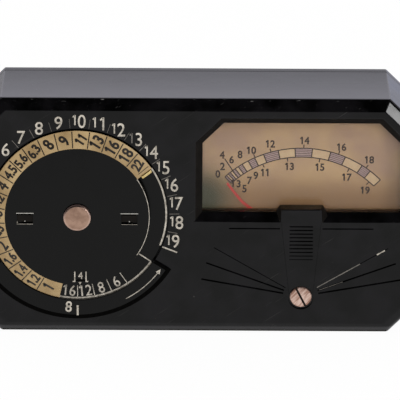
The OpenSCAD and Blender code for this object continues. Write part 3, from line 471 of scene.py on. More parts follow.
# Moulded Bakelite: a phenolic resin filled with wood flour and dyed black. It comes glossy from the
# mould and keeps an even low shine, with fine scratches, dull finger marks and grains of dust. The top
# is painted lighter, most at the front, partly dust and partly a painted sheen; the edge below it is
# chipped; a lighter line above the foot is a painted highlight, where the rounded foot edge catches light.
flour_size = 0.5 * MM
mark_size = 7 * MM
scratch_size = 0.35 * MM
scratch_length = 12 * MM
dust_spacing = 4.5 * MM
dust_size = 0.18 * MM
chip_size = 0.8 * MM
chip_top = case_high.z - 0.35 * MM
bakelite, tree, shader = new_finish("moulded_bakelite", IOR=1.285)
place = add_node(tree, "TexCoord").outputs["Object"]
flour = add_node(tree, "TexNoise", {"Vector": place, "Scale": 1 / flour_size, "Detail": 3.0})
marks = add_node(tree, "TexNoise", {"Vector": place, "Scale": 1 / mark_size, "Detail": 5.0})
patches = add_node(tree, "MapRange", {"Value": marks, "From Min": 0.4, "From Max": 0.62})
tint = add_node(tree, "Mix", {0: patches, 6: srgb("#020202"), 7: srgb("#0d0c0e")}, data_type="RGBA")
strokes = add_node(
    tree,
    "Mapping",
    {"Vector": place, "Rotation": (0, -0.6, 0), "Scale": (scratch_length / scratch_size, 1, 1)},
    vector_type="TEXTURE",
)
scratches = add_node(tree, "TexNoise", {"Vector": strokes, "Scale": 1 / scratch_size, "Detail": 2.0})
scuff = add_node(tree, "MapRange", {"Value": scratches, "From Min": 0.7, "From Max": 0.78})
grains = add_node(tree, "TexVoronoi", {"Vector": place, "Scale": 1 / dust_spacing})
grain_share = dust_size / dust_spacing
speck = add_node(
    tree,
    "MapRange",
    {"Value": grains, "From Min": 0.5 * grain_share, "From Max": grain_share, "To Min": 1, "To Max": 0},
)
some = add_node(tree, "SeparateColor", {0: grains.outputs["Color"]})
few = add_node(tree, "Math", {0: some, 1: 0.75}, operation="GREATER_THAN")
dust = add_node(tree, "Math", {0: speck, 1: few}, operation="MULTIPLY")
ways = add_node(tree, "SeparateXYZ", {0: place})
height = ways.outputs["Z"]
# painted highlight: a lighter band just above the foot, where the rounded foot edge catches reflected light
below = add_node(
    tree,
    "MapRange",
    {"Value": height, "From Min": 1.6 * MM, "From Max": 2.3 * MM, "To Min": 1, "To Max": 0},
    interpolation_type="SMOOTHSTEP",
)
above = add_node(tree, "MapRange", {"Value": height, "From Min": 1 * MM, "From Max": 1.3 * MM})
foot_highlight = add_node(tree, "Math", {0: below, 1: above}, operation="MULTIPLY")
# partly dust, partly a painted sheen: the top face painted lighter and a little blue, most at the front
lid_low = case_high.z - 0.15 * MM
lid_high = case_high.z - 0.05 * MM
lid = add_node(tree, "MapRange", {"Value": height, "From Min": lid_low, "From Max": lid_high})
forward = add_node(
    tree,
    "MapRange",
    {"Value": ways.outputs["Y"], "From Min": case_high.y, "From Max": face_y + band_fall},
)
dust_and_sheen = add_node(tree, "Math", {0: lid, 1: forward}, operation="MULTIPLY")
chip_low = add_node(
    tree,
    "MapRange",
    {"Value": height, "From Min": chip_top - 0.6 * MM, "From Max": chip_top - 0.4 * MM},
)
chip_high = add_node(
    tree,
    "MapRange",
    {"Value": height, "From Min": chip_top, "From Max": chip_top + 0.15 * MM, "To Min": 1, "To Max": 0},
)
edge = add_node(tree, "Math", {0: chip_low, 1: chip_high}, operation="MULTIPLY")
along = add_node(tree, "Mapping", {"Vector": place, "Scale": (0.25, 1, 1)})
knocks = add_node(tree, "TexNoise", {"Vector": along, "Scale": 1 / chip_size, "Detail": 2.0})
chipped = add_node(tree, "MapRange", {"Value": knocks, "From Min": 0.68, "From Max": 0.74})
chips = add_node(tree, "Math", {0: edge, 1: chipped}, operation="MULTIPLY")
# scratches, dust and chips are wear; the band above the foot and the top's tint carry painted light
wear_and_painted_light = ((scuff, "#2a2928"), (dust, "#4d4a46"), (foot_highlight, "#39383a"), (dust_and_sheen, "#57565c"), (chips, "#6b6968"))
for mask, code in wear_and_painted_light:
    tint = add_node(tree, "Mix", {0: mask, 6: tint, 7: srgb(code)}, data_type="RGBA")
dull = add_node(
    tree,
    "MapRange",
    {"Value": marks, "From Min": 0.35, "From Max": 0.7, "To Min": 0.13, "To Max": 0.24},
)
rough = add_node(tree, "Math", {0: scuff, 1: 0.15, 2: dull}, operation="MULTIPLY_ADD")
wavy = add_node(tree, "Bump", {"Height": marks, "Strength": 0.1, "Distance": 0.4 * MM})
relief = add_node(
    tree, "Bump", {"Height": flour, "Strength": 0.06, "Distance": 0.05 * MM, "Normal": wavy}
)
plug(shader, {"Base Color": tint, "Roughness": rough, "Normal": relief})
front_case.data.materials.append(bakelite)


def mottled(name, patch, tints, detail=3.0, span=None, rough=None, **sockets):
    """A finish that wanders between two tints, in patches of a size, and between two roughnesses."""
    finish, tree, shader = new_finish(name, **sockets)
    place = add_node(tree, "TexCoord").outputs["Object"]
    cloud = add_node(tree, "TexNoise", {"Vector": place, "Scale": 1 / patch, "Detail": detail})
    share = cloud
    if span:
        share = add_node(tree, "MapRange", {"Value": cloud, "From Min": span[0], "From Max": span[1]})
    tint = add_node(tree, "Mix", {0: share, 6: srgb(tints[0]), 7: srgb(tints[1])}, data_type="RGBA")
    plug(shader, {"Base Color": tint})
    if rough:
        ends = {"From Min": 0.3, "From Max": 0.7, "To Min": rough[0], "To Max": rough[1]}
        plug(shader, {"Roughness": add_node(tree, "MapRange", {"Value": cloud, **ends})})
    return finish


# Dulled Bakelite: a matt dark finish, laid as painted shade on the sides of the window, which lie in
# shadow, and on the foot, where the meter's shadow meets the floor.
dulled = mottled(
    "dulled_bakelite", 1.5 * MM, ("#110f0e", "#24211e"), detail=4.0, Roughness=0.7, IOR=1.15
)
front_case.data.materials.append(dulled)
# painted shade: the window's sides and the foot take the matt dark finish
for face in front_case.data.polygons:
    inside = glass_low.x < face.center.x < glass_high.x and glass_low.z < face.center.z < glass_high.z
    sill = abs(face.normal.z) > 0.6 and face.center.z < lug_top
    if inside and face_y + edge_round < face.center.y < glass_low.y and not sill:
        face.material_index = 1
    elif face.center.z < foot_round / 2:
        face.material_index = 1
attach(front_case, "case")
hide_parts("front_case")

# Case numbers
# The scale of light values round the dial, with short lines between them. They are engraved in the
# face and filled with a cream lacquer, which has shrunk a little and yellowed.
paint = 0.05 * MM
first_number = 6
number_step = 11.7
number_first = 136
number_radius = 25.5 * MM
number_high = 3.5 * MM
pair_high = 3.6 * MM
pair_shift = 0.8 * MM
ten_high = 2.8 * MM
ten_shift = Vector((-2 * MM, 0, 0.4 * MM))
tick_first = 129.6
tick_inner = 23.7 * MM
tick_outer = 26.2 * MM
tick_width = 0.16 * MM
thin_tick = 0.1 * MM
stroke_width = 0.3 * MM
stroke_gain = 0.02 * MM
digit_share = 0.72
flag_half = Vector((0.1, 0.045, 0.5))
flag_shift = Vector((-0.04, 0.26, 0))
flag_lean = math.radians(40)


def lay(piece, spot, lean=0, fall=0, toward=0):
    """Lay a flat piece on the front at a spot, turned by lean, falling away towards an angle."""
    upright = Matrix(((1, 0, 0, 0), (0, 0, -1, 0), (0, 1, 0, 0), (0, 0, 0, 1)))
    hinge = Vector((-math.sin(math.radians(toward)), math.cos(math.radians(toward)), 0))
    piece.matrix_world = (
        Matrix.Translation(spot)
        @ upright
        @ Matrix.Rotation(math.radians(fall), 4, hinge)
        @ Matrix.Rotation(math.radians(lean), 4, "Z")
    )
    take(piece)
    return settle()


def add_label(words, height, spot, lean=0, fall=0, toward=0, weight=0.0, width=0.85):
    """Print plain numbers on the front: text made a mesh of a coat's thickness, each 1 with a flag."""
    bpy.ops.object.select_all(action="DESELECT")
    bpy.ops.object.text_add()
    letters = bpy.context.object.data
    letters.body = words
    letters.extrude = 0.5
    letters.resolution_u = 4
    bpy.ops.object.convert(target="MESH")
    label = bpy.context.object
    tall = 0.8 * digit_share
    bars = [f.center.copy() for f in label.data.polygons if f.normal.x < -0.99 and f.area > tall]
    for bar in bars:
        flag = add_block("flag", -flag_half, flag_half)
        flag.location = bar + flag_shift
        flag.rotation_euler.z = flag_lean
        label = gather([label, flag])
    bpy.ops.object.mode_set(mode="EDIT")
    bpy.ops.mesh.select_all(action="SELECT")
    bpy.ops.mesh.remove_doubles(threshold=0.003)
    bpy.ops.mesh.normals_make_consistent(inside=False)
    if weight:
        bpy.ops.transform.shrink_fatten(value=weight * digit_share / height, use_even_offset=True)
    bpy.ops.object.mode_set(mode="OBJECT")
    bpy.ops.object.origin_set(type="ORIGIN_GEOMETRY", center="BOUNDS")
    label.scale = (width * height / digit_share, height / label.dimensions.y, paint / label.dimensions.z)
    bpy.ops.object.transform_apply(location=False, rotation=False, scale=True)
    return lay(label, spot, lean, fall, toward)


def add_stroke(length, width, spot, lean=0, fall=0, toward=0):
    """A straight stroke of paint, its middle on a spot of the front."""
    half = Vector((length, width, paint)) / 2
    return lay(add_block("stroke", -half, half), spot, lean, fall, toward)


def dial_spot(angle, radius, height):
    """A point of the dial, by its angle from the right, its radius and its height over the face."""
    turned = math.radians(angle)
    return Vector((dial_x + radius * math.cos(turned), face_y - height, dial_z + radius * math.sin(turned)))


prints = []
ticks = []
for value in range(first_number, 20):
    spot = dial_spot(number_first - (value - first_number) * number_step, number_radius, 0)
    if value < 10:
        prints.append(add_label(str(value), number_high, spot, weight=stroke_gain, width=0.95))
    else:
        spot.x += pair_shift
        prints.append(add_label(str(value % 10), pair_high, spot, weight=stroke_gain, width=0.9))
        ten = add_label("1", ten_high, spot + ten_shift, weight=stroke_gain)
        (ticks if value == 13 else prints).append(ten)
for gap in range(13):
    angle = tick_first - gap * number_step
    spot = dial_spot(angle, (tick_inner + tick_outer) / 2, 0)
    width = thin_tick if 1 < gap < 7 else tick_width
    ticks.append(add_stroke(tick_outer - tick_inner, width, spot, angle))
end_angle = -21.5
end_outer = 27.6 * MM
end_inner = well_radius + well_edge
end_spot = dial_spot(end_angle, (end_inner + end_outer) / 2, 0)
prints.append(add_stroke(end_outer - end_inner, 1.2 * stroke_width, end_spot, end_angle))

# painted highlights, laid as thin strokes of lacquer in the fanned lines on the right, where their walls
# catch the light: start, end, lean and width
ray_highlights = ((4.8, 17.6, 30.5, 0.24), (5.0, 11.5, 20.4, 0.1), (22.6, 25, 30.5, 0.3))
for start, end, lean, width in ray_highlights:
    spot = Vector((zero_x, face_y, zero_z)) + (start + end) / 2 * MM * outward(lean)
    stroke = add_stroke((end - start) * MM, width * MM, spot, lean)
    (ticks if width < 0.3 else prints).append(stroke)


def finish_print(name, pieces, material, body):
    """Make one piece of the labels and strokes of a print."""
    sheet = gather(pieces)
    sheet.name = name
    sheet.data.name = name
    bpy.ops.object.mode_set(mode="EDIT")
    bpy.ops.mesh.select_all(action="SELECT")
    bpy.ops.mesh.remove_doubles(threshold=MM / 2000)
    bpy.ops.mesh.normals_make_consistent(inside=False)
    bpy.ops.object.mode_set(mode="OBJECT")
    sheet.data.materials.clear()
    sheet.data.materials.append(material)
    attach(sheet, body)


# Filling lacquer: white lead paint wiped into the engraving, now cream and worn in spots.
lacquer = mottled("cream_lacquer", 1.2 * MM, ("#d8d0c2", "#8f887c"), span=(0.35, 0.7), Roughness=0.5)
finish_print("case_numbers", prints, lacquer, "case")

# Rubbed lacquer: the same filling where most of it has gone from the thin lines.
rubbed_lacquer = mottled("rubbed_lacquer", 0.8 * MM, ("#8e887f", "#2e2c2a"), Roughness=0.6)
finish_print("case_ticks", ticks, rubbed_lacquer, "case")

# Back cover
# The lid of the case, moulded like it and held on by four screws. A fine line shows all round
# where it meets the shell.
cover_low, cover_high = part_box("back_cover")
cell_low, cell_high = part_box("cell_bezel")
cell_x = (cell_low.x + cell_high.x) / 2
cell_z = (cell_low.z + cell_high.z) / 2
cover_back = face_y - cover_high.y
cover_front = face_y - cover_low.y
back_round = 0.8 * MM
cover_round = 0.7 * edge_round
bezel_radius = 22.5 * MM
mouth_radius = bezel_radius + 0.05 * MM
mouth_edge = 0.3 * MM
head_radius = 2.5 * MM
sink_radius = head_radius + 0.05 * MM
sink_edge = 0.2 * MM
sink_deep = 1.6 * MM
sink_bore = 1.3 * MM
back_cover = case_block("back_lid", 0, cover_low.y, cover_high.y, corner_cut + corner_draft)
round_off(back_cover, back_round, 1, lambda a, b: min(a.y, b.y) > cover_high.y - hair)
round_off(back_cover, cover_round, 3, lambda a, b: True)
mouth = [
    (0, cover_front + MM), (mouth_radius, cover_front + MM), (mouth_radius, cover_back + mouth_edge),
    (mouth_radius + mouth_edge, cover_back), (mouth_radius + mouth_edge, cover_back - MM),
    (0, cover_back - MM),
]
carve(back_cover, turn("cell_mouth", (cell_x, cell_z), mouth, steps=128))
sink = [
    (0, cover_front + MM), (sink_bore, cover_front + MM), (sink_bore, cover_back + sink_deep),
    (sink_radius, cover_back + sink_deep), (sink_radius, cover_back + sink_edge),
    (sink_radius + sink_edge, cover_back), (sink_radius + sink_edge, cover_back - MM),
    (0, cover_back - MM),
]
for side in (-1, 1):
    for screw_z in screw_zs:
        carve(back_cover, turn("screw_sink", (side * screw_x, screw_z), sink, steps=48))
smooth(back_cover)
back_cover.data.materials.append(bakelite)
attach(back_cover, "case")
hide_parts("back_cover")

# Case screws
# Four slotted cheese-head screws of blackened steel, sunk in the cover and run into the posts of
# the shell.
case_screw_low, case_screw_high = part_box("case_screws")
head_top = face_y - case_screw_high.y
head_under = head_top + 1.4 * MM
head_edge = 0.3 * MM
thread_radius = 1.25 * MM
thread_end = face_y - case_screw_low.y
thread_edge = 0.4 * MM
slot_deep = 0.7 * MM
slot_half = Vector((0.35 * MM, MM, 2 * head_radius))


def cut_slot(screw, middle, half, lean):
    """Saw a slot across the head of a screw, turned by lean."""
    slot = add_block("slot", middle - half, middle + half)
    pick(slot, "FACE", lambda centre, normal: True)
    bpy.ops.transform.rotate(value=math.radians(lean), orient_axis="Y", center_override=middle)
    bpy.ops.object.mode_set(mode="OBJECT")
    carve(screw, slot)


screw_line = [
    (0, head_top), (head_radius - head_edge, head_top), (head_radius, head_top + head_edge),
    (head_radius, head_under), (thread_radius, head_under), (thread_radius, thread_end - thread_edge),
    (thread_radius - thread_edge, thread_end), (0, thread_end),
]
screws = []
for screw_z in screw_zs:
    for side in (-1, 1):
        screw = turn("case_screw", (side * screw_x, screw_z), screw_line, steps=48)
        slot_middle = Vector((side * screw_x, case_screw_high.y - slot_deep + MM, screw_z))
        cut_slot(screw, slot_middle, slot_half, 25 + 50 * len(screws))
        screws.append(screw)
case_screws = gather(screws)
case_screws.name = "cover_screws"
smooth(case_screws)

# Blackened steel: turned, then oil-blacked; the finish is thin, so that bright metal shows in patches.
blacked = mottled(
    "blackened_steel",
    0.8 * MM,
    ("#3c3b3a", "#8c8883"),
    detail=4.0,
    span=(0.45, 0.75),
    Metallic=1.0,
    Roughness=0.35,
)
case_screws.data.materials.append(blacked)
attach(case_screws, "case")
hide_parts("case_screws")

# Lower disc
# The disc of picture speeds: a steel pressing in black enamel that turns on the stud. A tongue on
# it steps up out of the well and runs out over the numbers on the case; a bead carries film speeds.
disc_thick = 0.5 * MM
disc_bottom = -0.95 * MM
disc_top = disc_bottom + disc_thick
disc_bore = stud_radius + 0.06 * MM
step_radius = 23.08 * MM
step_lap = 0.3 * MM
rim_radius = step_radius + 0.22 * MM
edge_radius = 27.1 * MM
tongue_radius = 28.3 * MM
tongue_bottom = 0.15 * MM
tongue_top = tongue_bottom + disc_thick
tongue_start = -148.5
tongue_sweep = 117
fine = 0.12 * MM
bead_inner = 14.4 * MM
bead_outer = 18.3 * MM
bead_foot = 0.6 * MM
bead_top = 0.95 * MM
disc_line = [
    (disc_bore, disc_bottom), (step_radius, disc_bottom), (step_radius, disc_top - fine),
    (step_radius - fine, disc_top), (bead_outer, disc_top), (bead_outer, bead_top - fine),
    (bead_outer - fine, bead_top), (bead_inner, bead_top), (bead_inner - bead_foot, disc_top),
    (disc_bore, disc_top),
]
tongue_line = [
    (step_radius - step_lap, disc_bottom), (rim_radius - fine, disc_bottom),
    (rim_radius, disc_bottom + fine), (rim_radius, tongue_bottom), (tongue_radius, tongue_bottom),
    (tongue_radius, tongue_bottom + fine), (edge_radius, tongue_top), (step_radius + fine, tongue_top),
    (step_radius, tongue_top - fine), (step_radius, disc_top), (step_radius - step_lap, disc_top),
]
speed_disc = turn("speed_plate", (dial_x, dial_z), disc_line, steps=128)
tongue = turn("tongue", (dial_x, dial_z), tongue_line, tongue_start, tongue_sweep, 64)
carve(speed_disc, tongue, "UNION")
smooth(speed_disc)

# Black stoving enamel: a thick soft-gloss coat with a slight orange peel, rubbed dull in patches.
enamel = mottled("black_enamel", 5 * MM, ("#030303", "#0a0a09"), detail=5.0, rough=(0.18, 0.3), IOR=1.255)
tree = enamel.node_tree
place = add_node(tree, "TexCoord").outputs["Object"]
peel = add_node(tree, "TexNoise", {"Vector": place, "Scale": 1 / (0.6 * MM), "Detail": 2.0})
relief = add_node(tree, "Bump", {"Height": peel, "Strength": 0.08, "Distance": 0.05 * MM})
plug(tree.nodes["Principled BSDF"], {"Normal": relief})
speed_disc.data.materials.append(enamel)

# Edge black: a matt black coat on the thinned edge of the tongue, a painted shadow along its rim.
shadow_black = mottled("shadow_black", 0.9 * MM, ("#010101", "#0c0b0a"), Roughness=0.9, IOR=1.1)
speed_disc.data.materials.append(shadow_black)
# painted shadow: the tongue's outer skirt and its rim walls take the matt black
for face in speed_disc.data.polygons:
    reach = math.hypot(face.center.x - dial_x, face.center.z - dial_z)
    if reach > edge_radius or (reach > rim_radius and abs(face.normal.y) < 0.5):
        face.material_index = 1
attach(speed_disc, "speed_disc")
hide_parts("speed_disc")

# Speed numbers
# Cream lacquer printed on the lower disc: a border line, cells with the picture speeds, and on the
# tongue an arrow, an index line and a single number. At the tongue's two ends lie strokes of painted
# shadow.
arc_radius = 22.85 * MM
arc_width = 0.42 * MM
cut_start = -101.5
cut_sweep = 135.5
cut_end = cut_start + cut_sweep
border_angle = -34
cell_inner = 19.2 * MM
cell_middle = (cell_inner + arc_radius) / 2
cell_lines = (-55.5, -67, -78.5, -89.7)
speed_radius = 20.9 * MM
speed_high = 3 * MM
speeds = (("6", -61.3), ("8", -72.8), ("12", -84.2), ("16", -95.6))
thin_stroke = 0.2 * MM
arrow_radius = 25.9 * MM
arrow_start = -61
arrow_sweep = 25
arrow_head = (1.3 * MM, 1.2 * MM)
index_size = (2.7 * MM, 0.5 * MM)
single_angle = -95
single_radius = 25 * MM
single_lean = -4
film_speeds = ("4", "6", "8", "12", "16", "24", "32", "40", "1", "1.5", "2", "3")
film_high = 2 * MM
film_gain = 0.06 * MM
peep_radius = 16.3 * MM
peep_angle = -87
film_radius = peep_radius - 0.05 * MM
shadow_width = 0.75 * MM
shadow_inset = 0.8


def add_arc(radius, width, height, start, sweep, axis=(dial_x, dial_z), coat=paint, steps=0):
    """A line of paint round the dial, or round another axis, on a flat at a height."""
    low = height - paint / 2
    section = tube(radius - width / 2, radius + width / 2, low, low + coat)
    return turn("arc", axis, section, start, sweep, steps or max(8, round(abs(sweep) / 2)))


def add_head(length, width, spot, lean):
    """A filled arrow head of paint, its point at the end of a lean."""
    bpy.ops.object.select_all(action="DESELECT")
    bpy.ops.mesh.primitive_cylinder_add(vertices=3, radius=1, depth=paint, rotation=(0, 0, -math.pi / 2))
    head = settle()
    head.scale = (length / 1.5, width / math.sqrt(3), 1)
    bpy.ops.object.transform_apply(location=False, rotation=False, scale=True)
    return lay(head, spot, lean)


prints = [
    add_arc(arc_radius, arc_width, disc_top, cut_start, border_angle - cut_start),
    add_arc(arc_radius, arc_width, disc_top, end_angle, cut_end - end_angle),
]
for angle in (border_angle,) + cell_lines:
    width = stroke_width if angle == border_angle else thin_stroke
    spot = dial_spot(angle, cell_middle, disc_top)
    prints.append(add_stroke(arc_radius - cell_inner, width, spot, angle))
for words, angle in speeds:
    spot = dial_spot(angle, speed_radius, disc_top)
    prints.append(add_label(words, speed_high, spot, angle + 90, weight=stroke_gain))
arrow_end = arrow_start + arrow_sweep
arrow_spot = dial_spot(arrow_end, arrow_radius, tongue_top)
prints.append(add_arc(arrow_radius, thin_stroke, tongue_top, arrow_start, arrow_sweep))
prints.append(add_head(*arrow_head, arrow_spot, arrow_end + 90))
index_angle = cell_lines[-1]
index_spot = dial_spot(index_angle, arrow_radius, tongue_top)
prints.append(add_stroke(*index_size, index_spot, index_angle))
single_spot = dial_spot(single_angle, single_radius, tongue_top)
prints.append(add_label("8", speed_high, single_spot, single_lean, weight=film_gain))
for number, words in enumerate(film_speeds):
    angle = peep_angle + 30 * number
    spot = dial_spot(angle, film_radius, bead_top)
    prints.append(add_label(words, film_high, spot, angle + 90, weight=film_gain))
finish_print("speed_numbers", prints, lacquer, "speed_disc")
# painted shadow: a matt black stroke across each end of the tongue
shadow_strokes = []
for angle in (tongue_start + shadow_inset, tongue_start + tongue_sweep - shadow_inset):
    spot = dial_spot(angle, (rim_radius + edge_radius) / 2, tongue_top)
    shadow_strokes.append(add_stroke(edge_radius - rim_radius, shadow_width, spot, angle))
finish_print("tongue_shadow", shadow_strokes, shadow_black, "speed_disc")

# Upper disc
# The disc of lens openings, pressed from brass: a flat cap in black enamel and a sloping ring in cream
# enamel, cut away over part of its round. Two lanced finger tabs and a small window are punched in it.
cap_radius = 18.6 * MM
cap_top = 1.6 * MM
cap_y = face_y - cap_top
ring_radius = 23 * MM
ring_top = 0.35 * MM
ring_fall = math.degrees(math.atan2(cap_top - ring_top, ring_radius - cap_radius))
ring_slope = math.tan(math.radians(ring_fall))
cut_radius = cap_radius + 0.1 * MM
cut_low = ring_top - 2 * disc_thick
cap_line = [
    (disc_bore, cap_top - disc_thick), (cap_radius, cap_top - disc_thick),
    (ring_radius, ring_top - disc_thick), (ring_radius, ring_top - fine),
    (ring_radius - fine, ring_top), (cap_radius, cap_top), (disc_bore, cap_top),
]
cut_line = tube(cut_radius, ring_radius + MM, cut_low, cap_top + MM)
aperture_disc = turn("aperture_plate", (dial_x, dial_z), cap_line, steps=128)
carve(aperture_disc, turn("cutter", (dial_x, dial_z), cut_line, cut_start, cut_sweep, 64))
peep = dial_spot(peep_angle, peep_radius, cap_top)
peep_half = Vector((1.15 * MM, 2 * MM, 1.25 * MM))
tab_reach = 13.4 * MM
tab_length = 4.1 * MM
tab_half = 0.9 * MM
tab_top = cap_top - 0.25 * MM
tab_low = cap_top - 0.6 * MM
tab_lap = 0.2 * MM
pocket_high = 1.4 * MM
pocket_z = dial_z - 0.5 * MM
pocket_half = Vector((tab_length / 2, MM, pocket_high))
lip_width = 0.22 * MM
lip_rise = 0.12 * MM
knob_z = pocket_z - tab_half + 0.2 * MM
knob_foot = tab_low + MM / 9
knob_line = [
    (0, cap_top - 0.05 * MM), (0.16 * MM, cap_top - 0.1 * MM), (0.2 * MM, knob_foot), (0, knob_foot),
]
punches = [add_block("punch", peep - peep_half, peep + peep_half)]
for side in (-1, 1):
    middle = Vector((dial_x + side * tab_reach, cap_y, pocket_z))
    punches.append(add_block("punch", middle - pocket_half, middle + pocket_half))
carve(aperture_disc, gather(punches))

# finger tabs: in each pocket a strip with a small knob stands back, and the upper lip is turned out
for side in (-1, 1):
    tab_x = dial_x + side * tab_reach
    reach = tab_length / 2 + tab_lap
    strip = add_block(
        "strip",
        (tab_x - reach, face_y - tab_top, pocket_z - tab_half),
        (tab_x + reach, face_y - tab_low, pocket_z + tab_half),
    )
    lip = add_block(
        "lip",
        (tab_x - reach, cap_y - lip_rise, pocket_z + pocket_high),
        (tab_x + reach, cap_y + disc_thick / 2, pocket_z + pocket_high + lip_width),
    )
    for tool in (strip, lip, turn("knob", (tab_x, knob_z), knob_line, steps=16)):
        carve(aperture_disc, tool, "UNION")
smooth(aperture_disc)

# Ivory enamel: a warm cream coat, browned in patches and worn by fingers. Bare brass: the sheared edges
# of the pressing, bright where fingers rub them. Worn nickel: a trace of the first plating on the lips
# of the tabs, grey and scratched.
ivory = mottled(
    "ivory_enamel", 6 * MM, ("#bda275", "#92764d"), detail=5.0, span=(0.35, 0.75), Roughness=0.35, IOR=1.45
)
bare_brass = mottled("bare_brass", 0.5 * MM, ("#ecd79a", "#c2a35f"), Metallic=1.0, Roughness=0.28)
nickel = mottled("worn_nickel", 0.7 * MM, ("#d6d3cc", "#8b8881"), Metallic=1.0, Roughness=0.35)
for material in (enamel, ivory, bare_brass, dulled, nickel):
    aperture_disc.data.materials.append(material)
knob_reach = 0.25 * MM
for face in aperture_disc.data.polygons:
    reach = math.hypot(face.center.x - dial_x, face.center.z - dial_z)
    height = face_y - face.center.y
    turned_out = height > cap_top + hair / 2 or (tab_top < height < cap_top and abs(face.normal.z) > 0.7)
    if reach > cut_radius + hair and height > 0:
        face.material_index = 1 if face.normal.y < -0.5 else 2
    elif reach < tab_reach + tab_length and turned_out:
        face.material_index = 4
    elif abs(height - tab_top) < hair:
        face.material_index = 3
    elif max(abs(face.center.z - knob_z), abs(abs(face.center.x - dial_x) - tab_reach)) < knob_reach:
        face.material_index = 4
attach(aperture_disc, "aperture_disc")
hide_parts("aperture_disc")

# Opening numbers
# Lens openings printed on the ivory ring, all at one slant, with lines between their cells. The first
# cell is a little wider, and the longer numbers are smaller.
openings = (
    "22", "18", "16", "13", "11", "9", "8", "6.3", "5.6", "4.5",
    "4", "3.2", "2.8", "2.3", "2", "1.6", "1.4", "1.2", "1",
)
opening_high = 3.3 * MM
opening_low = 2.75 * MM
opening_gain = 0.15 * MM
cell_line = (4.3 * MM, 0.26 * MM)
end_line = (3.3 * MM, 0.16 * MM)
ring_slant = 57
ring_start = 34
cell_edge = 47.5
cell_step = 11.5
first_shift = 1.5
ring_middle = (cap_radius + ring_radius) / 2
ring_height = (cap_top + ring_top) / 2
prints = []
for number, words in enumerate(openings):
    start = ring_start if number == 0 else cell_edge + (number - 1) * cell_step
    end = cell_edge + number * cell_step
    angle = (start + end) / 2
    angle += first_shift if number == 0 else 0
    spot = dial_spot(angle, ring_middle, ring_height)
    high = opening_high if len(words) < 3 and words not in ("22", "11") else opening_low
    prints.append(
        add_label(words, high, spot, ring_slant, ring_fall, angle, weight=opening_gain, width=0.74)
    )
    if number < len(openings) - 1:
        spot = dial_spot(end, ring_middle, ring_height)
        prints.append(add_stroke(*cell_line, spot, end, ring_fall, end))
line_angle = cut_end + 2.6
line_shift = 0.3 * MM
spot = dial_spot(line_angle, ring_middle + line_shift, ring_height - line_shift * ring_slope)
prints.append(add_stroke(*end_line, spot, line_angle, ring_fall, line_angle))

# Printing ink: dark brown-black, thin enough for the ivory to show through where it is worn.
ink = mottled("printing_ink", 1 * MM, ("#15110d", "#33271b"), span=(0.4, 0.8), Roughness=0.55)
finish_print("opening_numbers", prints, ink, "aperture_disc")

# Cap lines
# A fine cream line along the open edge of the cap, two marks and an arrow head that frame the speed
# window, and a line below each finger tab.
cap_arc = cap_radius - 0.1 * MM
mark_high = 2.7 * MM
mark_reach = 1.45 * MM
hook_length = 0.7 * MM
cap_width = 0.15 * MM
under_width = 0.07 * MM
peep_head = (0.7 * MM, 0.8 * MM)
head_shift = Vector((-0.1 * MM, 0, -1.75 * MM))
prints = [add_arc(cap_arc, cap_width, cap_top, border_angle, cut_end - border_angle)]
for side in (-1, 1):
    beside = peep + Vector((side * mark_reach, 0, 0))
    prints.append(add_stroke(stroke_width, mark_high, beside))
    hook = beside + Vector((side * 0.2 * MM, 0, -mark_high / 2))
    prints.append(add_stroke(hook_length, stroke_width, hook))
    under = Vector((dial_x + side * tab_reach, cap_y, pocket_z - pocket_high - 0.08 * MM))
    prints.append(add_stroke(tab_length, under_width, under))
prints.append(add_head(*peep_head, peep + head_shift, -90))
finish_print("cap_lines", prints, lacquer, "aperture_disc")

# Ring end
# A strip of bare brass with rounded edges, soldered on at the end of the ring. The finger pushes the
# disc round by it, so that it stays bright.
strip_angle = cut_end - 0.9
strip_radius = 21.2 * MM
strip_height = cap_top - (strip_radius - cap_radius) * ring_slope
strip_half = Vector((3.1 * MM, 0.95 * MM, 0.6 * MM)) / 2
strip_round = 0.25 * MM
strip = add_block("ring_end", -strip_half, strip_half)
round_off(strip, strip_round, 4, lambda a, b: True)
lay(strip, dial_spot(strip_angle, strip_radius, strip_height), strip_angle, ring_fall, strip_angle)
smooth(strip)
strip.data.materials.append(bare_brass)
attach(strip, "aperture_disc")

# Dial stud
# The pivot of both discs: a turned, copper-plated stud with a domed edge. Its head keeps the discs on,
# and a nut holds it inside the case.
stud_head = 3.65 * MM
stud_round = 0.7 * MM
stud_top = face_y - stud_low.y
stud_seat = 1.75 * MM
stud_tail = face_y - stud_high.y
tail_edge = 0.3 * MM
dome = [(0, stud_top)]
for step in range(5):
    lean = math.radians(90 - 22.5 * step)
    dome.append((
        stud_head - stud_round + stud_round * math.cos(lean),
        stud_top - stud_round + stud_round * math.sin(lean),
    ))
dome += [
    (stud_head, stud_seat), (stud_radius, stud_seat), (stud_radius, stud_tail + tail_edge),
    (stud_radius - tail_edge, stud_tail), (0, stud_tail),
]
dial_stud = turn("stud", (dial_x, dial_z), dome, steps=64)
smooth(dial_stud)

# Copper plate: warm pink-brown metal, dulled in blotches, with a painted highlight: its rim is painted
# lighter, where the rounded edge catches light.
copper, tree, shader = new_finish("copper_plate", Metallic=1.0)
place = add_node(tree, "TexCoord").outputs["Object"]
blotch = add_node(tree, "TexNoise", {"Vector": place, "Scale": 1 / (1.6 * MM), "Detail": 4.0})
tarnish = add_node(tree, "MapRange", {"Value": blotch, "From Min": 0.35, "From Max": 0.65})
tint = add_node(tree, "Mix", {0: tarnish, 6: srgb("#a98a78"), 7: srgb("#977968")}, data_type="RGBA")
crown = (dial_x, face_y - stud_top, dial_z)
middle = add_node(tree, "VectorMath", {0: place, 1: crown}, operation="DISTANCE")
